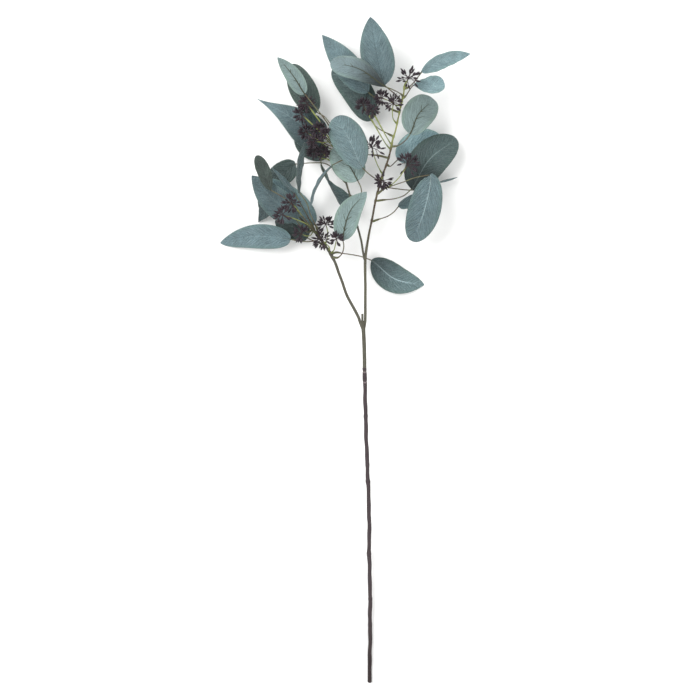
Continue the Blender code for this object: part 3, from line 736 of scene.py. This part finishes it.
def cloth_finish(name, base, vein, veined, upper):
    """Stiffened dyed cloth with pressed veins: the upper side is deeper, the underside paler and plainer.
    Painted shade lies beside the veins, and each leaf carries its own tone with painted light and shade along
    its length.
    """
    finish = Finish(name, roughness=0.72, specular=0.28, sheen=0.12)
    x, y, chance, place = finish.numbers("leaf_place")
    share_x, share_y, phase, _ = finish.numbers("leaf_share")
    lightness, warmth, line_tone, _ = finish.numbers("leaf_dye")
    pressed = finish.numbers("leaf_pressed")[0]
    out = finish.number("ABSOLUTE", share_x)
    middle = finish.number("ABSOLUTE", x)
    flat = finish.scaled(place, (1.0, 1.0, 40.0))

    # Side veins, which wander a little, the painted shade in the furrow beside them, and the streaks that run
    # with them.
    bent = finish.number("MULTIPLY_ADD", finish.noise(flat, 0.16, 3.0), 0.9, phase)
    line = finish.number("PINGPONG", bent, 0.5)
    fade = finish.spread(out, 0.6, 0.98, 1.0, 0.0)
    vein_line = finish.times(finish.spread(line, 0.02, 0.11, 1.0, 0.0), fade)
    beside = finish.times(finish.spread(line, 0.1, 0.3, 1.0, 0.0), fade)
    furrow = finish.spread(line, 0.0, 0.4, 0.0, 1.0)
    stretched = ((bent, 3.4), (middle, 0.17), (chance, 40.0))
    with_veins = finish.joined(*(finish.times(value, size) for value, size in stretched))
    streaks = finish.noise(with_veins, 1.0, 3.0, 0.6)
    fine_streaks = finish.grain(with_veins, (2.6, 2.2, 1.0), 2.0, 0.6)

    # The net between the veins, the blotches of the dye, and the midrib's line.
    cells = finish.node("ShaderNodeTexVoronoi", {"Vector": flat, "Scale": 0.42}, feature="DISTANCE_TO_EDGE")
    net = finish.spread(cells.outputs["Distance"], 0.0, 0.16, 1.0, 0.0)
    blotches = finish.noise(flat, 0.06, 4.0, 0.6)
    mottles = finish.noise(flat, 0.55, 5.0, 0.65)
    toward_tip = finish.spread(share_y, 0.55, 0.95, 1.0, 0.0)
    midline = finish.times(finish.spread(middle, 0.3, 0.95, 1.0, 0.0), toward_tip)

    dark, light = (0.8, 1.2) if upper else (0.86, 1.14)
    greener = (base[0] * 1.1, base[1] * 1.14, base[2] * 0.92)
    layers = (
        (finish.spread(mottles, 0.4, 0.75, 0.0, 0.5), tinted(base, 0.7)),
        (finish.spread(streaks, 0.5, 0.7, 0.0, 0.75 * veined), tinted(base, 0.45)),
        (finish.spread(streaks, 0.32, 0.5, 0.3 * veined, 0.0), tinted(vein, 0.8)),
        (finish.spread(fine_streaks, 0.5, 0.7, 0.0, 0.65 * veined), tinted(base, 0.45)),
        (finish.spread(fine_streaks, 0.3, 0.46, 0.25 * veined, 0.0), tinted(vein, 0.85)),
        (finish.spread(out, 0.62, 1.0, 0.0, 0.5), greener),
        # painted shade in the furrow beside each pressed vein
        (finish.times(beside, finish.times(pressed, 0.17 * veined)), tinted(base, 0.4)),
        (finish.times(net, 0.12 * veined), vein),
        (finish.times(vein_line, finish.times(pressed, 0.1 * veined)), vein),
        (finish.times(midline, finish.line(line_tone, 0.0, 1.0, 0.0, 0.85)), tinted(vein, 1.15)),
        (finish.times(midline, finish.line(line_tone, -1.0, 0.0, 0.85, 0.0)), tinted(base, 0.4)),
    )
    colour = finish.mix(finish.spread(blotches, 0.3, 0.7), tinted(base, dark), tinted(base, light))
    colour = finish.over(colour, layers)
    # Each leaf's lightness is multiplied in: partly its own tone, partly painted light and shade along the
    # leaf.
    colour = finish.mix(1.0, colour, finish.joined(lightness, lightness, lightness), "MULTIPLY")
    tanned = finish.mix(1.0, colour, (1.14, 1.0, 0.84), "MULTIPLY")
    colour = finish.mix(finish.line(warmth, 0.0, 1.0), colour, tanned)
    bluer = finish.mix(1.0, colour, (0.98, 0.93, 1.12), "MULTIPLY")
    colour = finish.mix(finish.line(warmth, -1.0, 0.0, 1.0, 0.0), colour, bluer)
    weave = [finish.number("SINE", finish.times(thread, 9.0)) for thread in (x, y)]
    return finish.done(
        finish.mix(finish.spread(out, 0.965, 1.0, 0.0, 0.5), colour, tinted(vein, 0.9)),
        (mottles, 0.62, 0.8),
        (finish.times(furrow, pressed), 0.4 * veined),
        (vein_line, 0.16 if upper else -0.16),
        (streaks, -0.5 * veined),
        (net, -0.1),
        (mottles, 0.3),
        (finish.times(*weave), 0.012),
    )


def rib_finish(settings):
    """Moulded midrib and petiole: brown where it leaves the twig, olive under the leaf."""
    finish = Finish("moulded_rib", roughness=0.6, specular=0.12)
    place = finish.numbers("grown_place")[3]
    share = finish.numbers("grown_mark")[0]
    grain = finish.grain(place, (2.2, 2.2, 0.25), 4.0, 0.6)
    patch = finish.grain(place, (0.2, 0.2, 0.08))
    petiole = finish.mix(finish.spread(patch, 0.4, 0.65), tuple(settings.petiole), linear("6f7358"))
    sleeve = finish.mix(finish.spread(patch, 0.35, 0.6), linear("4f4a3c"), linear("6b7150"))
    layers = (
        (finish.spread(share, 0.25, 0.38), petiole),
        (finish.spread(share, 0.9, 1.1), tuple(settings.rib)),
        (finish.spread(grain, 0.35, 0.7, 0.0, 0.4), linear("3a352c")),
    )
    return finish.done(finish.over(sleeve, layers), (grain, 0.42, 0.6), (grain, 0.12))


def bark_finish(name, stops, streak, settings):
    """Moulded bark with lengthwise streaks, through (millimetres from the start, colour) stops."""
    finish = Finish(name, roughness=0.7, specular=0.1)
    _, _, along, place = finish.numbers("grown_place")
    grain = finish.grain(place, (1.6, 1.6, 0.14), 5.0, 0.62)
    fine = finish.grain(place, (5.0, 5.0, 0.6), 4.0, 0.6)
    patch = finish.grain(place, (0.12, 0.12, 0.05), 3.0, 0.6)
    flecks = finish.grain(place, (1.2, 1.2, 1.8))
    spans = zip(stops, stops[1:])
    layers = [(finish.spread(along, start, end), after) for (start, _), (end, after) in spans]
    bark = finish.over(stops[0][1], layers)
    darker = finish.mix(1.0, bark, (0.4, 0.4, 0.4), "MULTIPLY")
    streaked = finish.mix(finish.spread(patch, 0.35, 0.65, 0.0, 0.35), bark, streak)
    streaked = finish.mix(finish.spread(grain, 0.45, 0.7, 0.0, 0.7), streaked, darker)
    lighter = finish.mix(1.0, streaked, (0.05, 0.05, 0.045), "ADD")
    for share in (finish.spread(fine, 0.5, 0.75, 0.0, 0.5), finish.spread(flecks, 0.68, 0.78)):
        streaked = finish.mix(share, streaked, lighter)
    return finish.done(streaked, (grain, 0.62, 0.8), (grain, settings.ridge / MM * 2.2), (fine, 0.08))


def stalk_finish(settings):
    """Yellow-green cluster stalks that turn purple along the pedicels."""
    finish = Finish("cluster_stalk", roughness=0.55, specular=0.15)
    place = finish.numbers("grown_place")[3]
    share = finish.numbers("grown_mark")[0]
    grain = finish.grain(place, (2.0, 2.0, 0.3), 4.0, 0.6)
    patchy = finish.spread(finish.grain(place, (0.3, 0.3, 0.12)), 0.35, 0.65)
    green = tuple(settings.stalk)
    layers = (
        (finish.spread(share, 0.1, 0.35), finish.mix(patchy, tinted(green, 0.8), green)),
        (finish.spread(share, 0.8, 0.98), tuple(settings.pedicel)),
        (finish.spread(grain, 0.45, 0.75, 0.0, 0.35), linear("565a33")),
    )
    sleeve = finish.mix(patchy, linear("5f6a42"), linear("7c8650"))
    return finish.done(finish.over(sleeve, layers), None, (grain, 0.1))


def bud_finish(settings):
    """Waxy dark purple buds, paler and redder at the foot, with painted highlights along their ridges and
    pale patches that are partly bloom and partly painted highlight.
    """
    finish = Finish("pointed_bud", roughness=0.4, specular=0.3, coat=0.06)
    share, ridge, _, place = finish.numbers("grown_place")
    bloom_and_highlight = finish.grain(place, (3.0, 2.0, 5.0), 4.0, 0.6)
    pedicel = tuple(settings.pedicel)
    layers = (
        (finish.spread(share, 0.0, 0.4), tuple(settings.bud)),
        # painted highlight along the ridges
        (finish.spread(ridge, 0.2, 1.0, 0.0, 0.4), pedicel),
        # pale patches, partly the buds' waxy bloom and partly painted highlight
        (finish.spread(bloom_and_highlight, 0.52, 0.72, 0.0, 0.5), linear("6f5a66")),
        (finish.spread(share, 0.86, 1.0, 0.0, 0.6), linear("241a20")),
    )
    return finish.done(finish.over(tinted(pedicel, 1.15), layers), (bloom_and_highlight, 0.36, 0.6), (bloom_and_highlight, 0.08))


def table_finish(settings):
    """Matt pale table with a faint paper grain."""
    finish = Finish("pale_table", roughness=0.85, specular=0.1)
    grain = finish.noise(finish.node("ShaderNodeTexCoord").outputs["Object"], 220.0, 3.0)
    colour = tuple(settings.table)
    grained = finish.mix(finish.spread(grain, 0.3, 0.7, 0.0, 0.3), colour, tinted(colour, 0.985))
    return finish.done(grained, None, (grain, 0.02))


# Making the pieces


def widened(spread, share):
    """Return places from -1 to 1, closer together toward both ends as share grows."""
    return np.sin(spread * math.pi / 2) * share + spread * (1 - share)


def leaf_blade(leaf, settings, finishes):
    """Add the cloth blade of one leaf, with its puffs between the veins and its waved edge."""
    steps = np.linspace(0.0, 1.0, BLADE_ROWS + 2)[1:-1]
    shares = 0.7 * steps + 0.15 * (1 - np.cos(math.pi * steps))
    spread = widened(np.linspace(-1, 1, 2 * BLADE_COLUMNS + 1), 0.35)
    across = np.concatenate([spread[::-1], spread[1:-1]])
    count = len(across)
    top = len(spread)
    side = np.where(np.arange(count) < top, 1.0, -1.0)
    side[[0, top - 1]] = 0.0
    share_grid = np.repeat(shares[:, None], count, axis=1)
    across_grid = np.repeat(across[None, :], BLADE_ROWS, axis=0)
    thin = np.clip((1 - np.abs(across_grid)) * 8, 0.25, 1.0)
    off = side[None, :] * thin * settings.thickness / 2
    nought = np.zeros(1)
    first = leaf.sheet(nought, nought, nought, settings)[0]
    places = np.vstack([leaf.sheet(share_grid, across_grid, off, settings).reshape(-1, 3), first, leaf.tip])

    base_end, tip_end = len(places) - 2, len(places) - 1
    last = (BLADE_ROWS - 1) * count
    faces = ring_faces(0, BLADE_ROWS, count)
    faces += [(base_end, two, one) for one, two in round_pairs(count)]
    faces += [(tip_end, last + one, last + two) for one, two in round_pairs(count)]
    facing = [int((corner >= top - 1) != leaf.turned) for corner in range(count)] * (BLADE_ROWS + 1)

    out = across_grid * leaf.half_at(share_grid)
    start, end, warmth, line_tone = leaf.tones
    tone = leaf.phases[0] / TURN
    length = leaf.length / MM
    phase = leaf.vein_phase(share_grid, across_grid, settings)
    # Lightness from petiole to tip: partly the leaf's own tone, partly painted light and shade.
    lightness = start + (end - start) * soft_step(np.clip((share_grid - 0.1) / 0.7, 0, 1))
    bases = leaf.vein_phase(nought, nought, settings)[0] + np.array((0, leaf.length / settings.vein_pitch))
    parts = {
        "leaf_place": ((out / MM, share_grid * length, tone), (0, 0, tone), (0, length, tone)),
        "leaf_share": ((across_grid, share_grid, phase), (0, 0, bases[0]), (0, 1, bases[1])),
        "leaf_dye": ((lightness, warmth, line_tone), (start, warmth, line_tone), (end, warmth, line_tone)),
        "leaf_pressed": ((leaf.pressed, 0, 0),) * 3,
    }
    numbers = {}
    for label, (cloth, *ends) in parts.items():
        grid = np.stack([np.broadcast_to(part, out.shape) for part in cloth], -1)
        numbers[label] = np.vstack([grid.reshape(-1, 3), ends])
    materials = [finishes["blue" if leaf.turned else leaf.dye], finishes["sage"]]
    add_piece(f"{leaf.name}_blade", places, faces, materials, (leaf.name,), numbers, facing)


def leaf_rib(leaf, settings, material):
    """Add the moulded petiole, its sleeve on the twig, and the midrib with its short side ribs."""
    tubes = Tubes()
    below = 1.0 if leaf.turned else -1.0
    petiole = [toward_stem(leaf.root, 1.5 * MM), leaf.root, *leaf.petiole, leaf.centres[0]]
    line = smooth_route(petiole, 6)
    shares = distances_along(line) / distances_along(line)[-1]
    sleeve = soft_step(np.clip(1 - (shares - 0.14) / 0.2, 0, 1)) * np.clip(0.55 + shares * 8, 0, 1)
    tubes.add(line, PETIOLE_RADIUS + LEAF_SLEEVE * sleeve, 12, 0.05 * MM, leaf.name, shares)

    reach = leaf.chance.uniform(0.72, 0.86)
    rib_shares = np.linspace(0.0, reach, 30)
    radii = np.linspace(*RIB_RADII, len(rib_shares))
    wander = 0.012 * np.sin(rib_shares * 11 + leaf.phases[1])
    line = leaf.sheet(rib_shares, wander, below * (settings.thickness / 2 + radii * 0.35), settings)
    tubes.add(line, radii, 10, 0.03 * MM, leaf.name, UNDER_LEAF)

    steps = np.linspace(0, 1, 9)
    radii = np.linspace(*SIDE_RIB_RADII, len(steps))
    stand = below * (settings.thickness / 2 + radii * 0.3)
    for middle, length in SIDE_RIBS:
        for side in (-1, 1):
            begin = middle + leaf.chance.uniform(-0.05, 0.05)
            size = length * leaf.chance.uniform(0.7, 1.25)
            if leaf.chance.random() < SIDE_RIB_LEFT_OUT:
                continue
            ahead = begin + steps * size * 1.2 * leaf.width / leaf.length + steps**2 * 0.01
            ahead = np.minimum(ahead, 0.9)
            out = side * steps * size + np.interp(ahead, rib_shares, wander) * (1 - steps)
            tubes.add(leaf.sheet(ahead, out, stand, settings), radii, 8, 0.0, leaf.name, UNDER_LEAF)
    tubes.finished(f"{leaf.name}_rib", material, "bark")


def knuckled(radii, places, wanted):
    """Return a twig's radii, swollen where a leaf or a cluster grows from it."""
    for root in ROOTS:
        gaps = np.linalg.norm(places - root, axis=1)
        nearest = int(np.argmin(gaps))
        if gaps[nearest] < KNUCKLE_GAP:
            radii = radii + KNUCKLE * np.exp(-(((wanted - wanted[nearest]) / KNUCKLE_REACH) ** 2))
    return radii


class SPRAY_OT_add_stems(bpy.types.Operator):
    """Add the main stem with its bark rings, the fork and the three twigs"""

    bl_idname = "spray.add_stems"
    bl_label = "Add Stems"

    def execute(self, context):
        settings = context.scene.spray_stems
        brown, worn = tuple(settings.bark), tuple(settings.worn)
        grey, aged = tuple(settings.twig), tuple(settings.aged_twig)
        bark_stops = [(0, tuple(settings.bark_end)), (130, brown)]
        for start, palest, end in WORN_RINGS_MM:
            bark_stops += [(start, brown), (palest, worn), (end, brown)]
        twig_stops = [(0, grey), (100, grey)]
        leader_stops = [(90, grey), (160, aged), (224, aged), (240, tuple(settings.young_twig))]
        twig = bark_finish("grey_twig", twig_stops, linear("4a453c"), settings)
        finishes = {
            "main_stem": (bark_finish("brown_bark", bark_stops, linear("463e3d"), settings), "bark"),
            "leader": (bark_finish("leader_twig", leader_stops, linear("5d5a40"), settings), "twig"),
        }
        for name, (centres, spread) in STEM_LINES.items():
            material, slot = finishes.get(name, (twig, "twig"))
            line = smooth_route(centres, STEM_SPAN)
            along = distances_along(line)
            at_rings = along[::STEM_SPAN]
            wanted = np.unique(np.concatenate([np.arange(0, along[-1], BARK_STEP), at_rings, [along[-1]]]))
            places = spread_along(along, line, wanted)
            radii = np.interp(wanted, at_rings, spread)
            if name == "main_stem":
                places[:, 0] += waved(wanted, STEM_WAVES)
                radii = radii + waved(wanted, GIRTH_WAVES)
            else:
                lead = growing_out(name, places)
                radii = knuckled(radii, places, wanted)
                places = np.vstack([lead, places])
                radii = np.concatenate([np.full(len(lead), radii[0]), radii])
            tubes = Tubes()
            tubes.add(places, radii, STEM_SIDES, settings.ridge, name)
            tubes.finished(f"{name}_bark", material, slot, (name,))
        return {"FINISHED"}


class SPRAY_OT_add_leaves(bpy.types.Operator):
    """Add every cloth leaf with its petiole and its moulded midrib"""

    bl_idname = "spray.add_leaves"
    bl_label = "Add Leaves"

    def execute(self, context):
        settings = context.scene.spray_leaves
        finishes = {}
        # The cloths: blue, a darker copy of it that is painted shade, and the pale underside.
        for dye, vein_share, veined, upper in (
            ("blue", 1.0, 1.0, True),
            ("deep", 0.75, 1.0, True),
            ("sage", 1.2, 0.6, False),
        ):
            vein = tinted(tuple(settings.vein), vein_share)
            finishes[dye] = cloth_finish(f"{dye}_cloth", tuple(getattr(settings, dye)), vein, veined, upper)
        rib = rib_finish(settings)
        for leaf in LEAF_SHAPES:
            leaf_blade(leaf, settings, finishes)
            leaf_rib(leaf, settings, rib)
        return {"FINISHED"}


class UmbelShape:
    """The stalk, head and buds of one cluster, read back from its solid."""

    def __init__(self, node):
        places, links, triangles = welded(node)
        self.name = node
        self.chance = random.Random(node)
        fans = [(places[corner], places[list(near)]) for corner, near in enumerate(links)]
        self.buds = [(tip, ring.mean(0)) for tip, ring in fans if self.is_bud(tip, ring)]
        heads = [tip - (tip - belly) / (1 - BELLY_SHARE) for tip, belly in self.buds]
        self.head = np.median(heads, axis=0)
        ends = flat_rings(places, triangles, BUD_CORNERS)
        ends = [ring for ring in ends if ring_radii(places[ring]).mean() < 0.7 * MM]
        if len(ends) != 1 or len(self.buds) != BUD_COUNT:
            raise RuntimeError(f"{node} has {len(ends)} stalk ends and {len(self.buds)} buds")
        stalk = []
        for ring in layers_from(links, ends[0]):
            if len(ring) != BUD_CORNERS or ring_radii(places[ring]).mean() > STALK_RADIUS:
                break
            stalk.append(places[ring].mean(0))
        self.stalk = np.array(stalk)

    @staticmethod
    def is_bud(tip, ring):
        """Say whether a corner is a bud's point, with the ring of the bud's belly round it."""
        radii = ring_radii(ring)
        gaps = np.linalg.norm(ring - tip, axis=1)
        round_belly = len(ring) == BUD_CORNERS and np.ptp(radii) < 0.15 * MM and radii.min() > LEAST_BELLY
        return round_belly and np.ptp(gaps) < 0.12 * gaps.mean()


def side_buds(umbel, grown, share):
    """Return (fork, reach) of the shorter buds that fork off the pedicels of the long ones."""
    forked = []
    for out in grown:
        first = unit(np.cross(out, (0.37, 0.51, 0.77)))
        second = unit(np.cross(out, first))
        turn = umbel.chance.uniform(0, TURN)
        count = 2 if umbel.chance.random() < share else 1
        for each in range(count):
            angle = turn + each * umbel.chance.uniform(2.2, 4.0)
            lean = umbel.chance.uniform(0.6, 1.1)
            way = unit(unit(out) + (math.cos(angle) * first + math.sin(angle) * second) * lean)
            fork = out * umbel.chance.uniform(0.18, 0.34)
            forked.append((fork, fork + way * np.linalg.norm(out) * umbel.chance.uniform(0.6, 0.82)))
    return forked


def bud_rings(belly):
    """Return (share, radius) pairs down one bud, from its foot to its point."""
    rings = []
    for share in BUD_STEPS:
        radius = belly * (0.22 * (1 - share) + 0.9 * math.sin(math.pi * share**0.85) ** 0.75)
        if BUD_NECK[0] < share < BUD_NECK[1]:
            radius *= 0.94
        rings.append((share, radius))
    return rings


class Buds(Growing):
    """The ridged buds of one cluster in one mesh."""

    def add(self, start, way, length, belly, chance):
        """Add one bud that points along way from start."""
        one = unit(np.cross(way, (0.3, 0.5, 0.8)))
        two = np.cross(way, one)
        angles = np.arange(BUD_SIDES) * TURN / BUD_SIDES
        ridge = (1 + np.cos(angles * BUD_RIDGES)) / 2
        first = len(self.places)
        rings = bud_rings(belly)
        for share, radius in rings:
            centre = start + way * length * share
            self.places.extend(circle(centre, one, two, angles, radius * (0.9 + 0.14 * ridge)))
            self.numbers += [(share, each, chance) for each in ridge]
        last = first + (len(rings) - 1) * BUD_SIDES
        tip = len(self.places)
        self.places += [start + way * length, start]
        self.numbers += [(1.0, 0.5, chance), (0.0, 0.5, chance)]
        self.faces += ring_faces(first, len(rings), BUD_SIDES)
        for corner, after in round_pairs(BUD_SIDES):
            self.faces += [(last + corner, last + after, tip), (first + after, first + corner, tip + 1)]


def add_umbel(umbel, settings, stalk_material, bud_material):
    """Add one cluster: its stalk and pedicels, then its ridged buds."""
    tubes = Tubes()
    line = smooth_route([toward_stem(umbel.stalk[0], 1.6 * MM), *umbel.stalk, umbel.head], STEM_SPAN)
    along = distances_along(line)
    sleeve = soft_step(np.clip(1 - (along - 3.5 * MM) / (5 * MM), 0, 1))
    radii = CLUSTER_STALK + CLUSTER_SLEEVE * sleeve
    radii[-3:] = HEAD_RADII
    tubes.add(line, radii, 12, 0.04 * MM, umbel.name, along / along[-1])

    axis = unit(umbel.head - umbel.stalk[-1])
    long_buds = [tip - umbel.head for tip, _ in umbel.buds]
    grown = [(np.zeros(3), out) for out in long_buds] + side_buds(umbel, long_buds, settings.forked)
    steps = np.linspace(0, 1, 7)
    arch = np.sin(steps * math.pi)
    buds = Buds()
    for index, (fork, tip) in enumerate(grown):
        reach = np.linalg.norm(tip - fork)
        way = (tip - fork) / reach
        body = min(settings.bud_length, reach * 0.62)
        start = umbel.head + tip - way * body
        leaving = umbel.head + fork
        bend = np.cross(way, axis)
        bow = unit(np.cross(bend, way)) * reach * 0.05 if np.linalg.norm(bend) > 0.05 else np.zeros(3)
        pedicel = leaving + np.outer(steps, start - leaving) + np.outer(arch, bow)
        tubes.add(pedicel, (0.4 - 0.1 * arch) * MM, 8, 0.0, index, 1.0 + steps)
        chance = umbel.chance.random()
        buds.add(start, way, body, settings.belly * (0.82 + 0.3 * chance), chance)
    tubes.finished(f"{umbel.name}_stalks", stalk_material, "twig")
    buds.finished(f"{umbel.name}_buds", bud_material, "bud", (umbel.name,))


class SPRAY_OT_add_umbels(bpy.types.Operator):
    """Add every bud cluster on its yellow-green stalk"""

    bl_idname = "spray.add_umbels"
    bl_label = "Add Bud Clusters"

    def execute(self, context):
        settings = context.scene.spray_umbels
        stalk = stalk_finish(settings)
        bud = bud_finish(settings)
        for umbel in UMBEL_SHAPES:
            add_umbel(umbel, settings, stalk, bud)
        return {"FINISHED"}


class SPRAY_OT_add_stage(bpy.types.Operator):
    """Add the pale table, the soft lights and the camera above the spray"""

    bl_idname = "spray.add_stage"
    bl_label = "Add Stage"

    def execute(self, context):
        settings = context.scene.spray_stage
        mesh = bpy.data.meshes.new("table_top")
        corners = [(x * TABLE_HALF, y * TABLE_HALF, 0) for x, y in ((-1, -1), (1, -1), (1, 1), (-1, 1))]
        mesh.from_pydata(corners, [], [(0, 1, 2, 3)])
        mesh.materials.append(table_finish(settings))
        table = bpy.data.objects.new("table_top", mesh)
        context.scene.collection.objects.link(table)
        world = bpy.data.worlds.new("room")
        world.use_nodes = True
        background = world.node_tree.nodes["Background"]
        background.inputs["Color"].default_value = (1.0, 1.0, 1.0, 1.0)
        background.inputs["Strength"].default_value = settings.sky
        context.scene.world = world
        for name, place, size, share in LAMPS:
            lamp = bpy.data.lights.new(name, "AREA")
            lamp.shape = "SQUARE"
            lamp.size = size
            lamp.energy = settings.key * share
            light = bpy.data.objects.new(name, lamp)
            light.location = place
            light.rotation_euler = (-Vector(place)).to_track_quat("-Z", "Y").to_euler()
            context.scene.collection.objects.link(light)
        lens = bpy.data.cameras.new("camera")
        lens.lens = LENS_MM
        lens.sensor_width = 36.0
        lens.clip_end = 20.0
        camera = bpy.data.objects.new("camera", lens)
        low, high = CAD_BOX
        middle = (low + high) / 2
        camera.location = Vector((middle.x, middle.y, settings.reach)) + CAMERA_SHIFT
        context.scene.collection.objects.link(camera)
        context.scene.camera = camera
        context.scene.view_settings.view_transform = "Standard"
        return {"FINISHED"}


class SPRAY_PT_panel(bpy.types.Panel):
    """Lists the settings and the steps of the spray"""

    bl_label = "Eucalyptus Spray"
    bl_idname = "SPRAY_PT_panel"
    bl_space_type = "VIEW_3D"
    bl_region_type = "UI"
    bl_category = "Spray"

    def draw(self, context):
        for holder, operator, _ in STEPS:
            settings = getattr(context.scene, holder)
            box = self.layout.box()
            for label in settings.bl_rna.properties.keys():
                if label not in ("rna_type", "name"):
                    box.prop(settings, label)
            box.operator(operator)


STEPS = (
    ("spray_stems", "spray.add_stems", StemSettings),
    ("spray_leaves", "spray.add_leaves", LeafSettings),
    ("spray_umbels", "spray.add_umbels", UmbelSettings),
    ("spray_stage", "spray.add_stage", StageSettings),
)

CLASSES = (
    *(settings for _, _, settings in STEPS),
    SPRAY_OT_add_stems,
    SPRAY_OT_add_leaves,
    SPRAY_OT_add_umbels,
    SPRAY_OT_add_stage,
    SPRAY_PT_panel,
)


def register():
    """Register every class and hang the settings on the scene."""
    for each in CLASSES:
        bpy.utils.register_class(each)
    for holder, _, settings in STEPS:
        setattr(bpy.types.Scene, holder, bpy.props.PointerProperty(type=settings))


def unregister():
    """Take the settings off the scene and unregister every class."""
    for holder, _, _ in STEPS:
        delattr(bpy.types.Scene, holder)
    for each in reversed(CLASSES):
        bpy.utils.unregister_class(each)


LEAF_SHAPES = [LeafShape(name) for name in LEAVES]
UMBEL_SHAPES = [UmbelShape(name) for name in UMBELS]
ROOTS = [leaf.root for leaf in LEAF_SHAPES] + [umbel.stalk[0] for umbel in UMBEL_SHAPES]


def main():
    """Build the whole spray."""
    register()
    bpy.ops.spray.add_stems()
    bpy.ops.spray.add_leaves()
    bpy.ops.spray.add_umbels()
    bpy.ops.spray.add_stage()


if __name__ == "__main__":
    main()
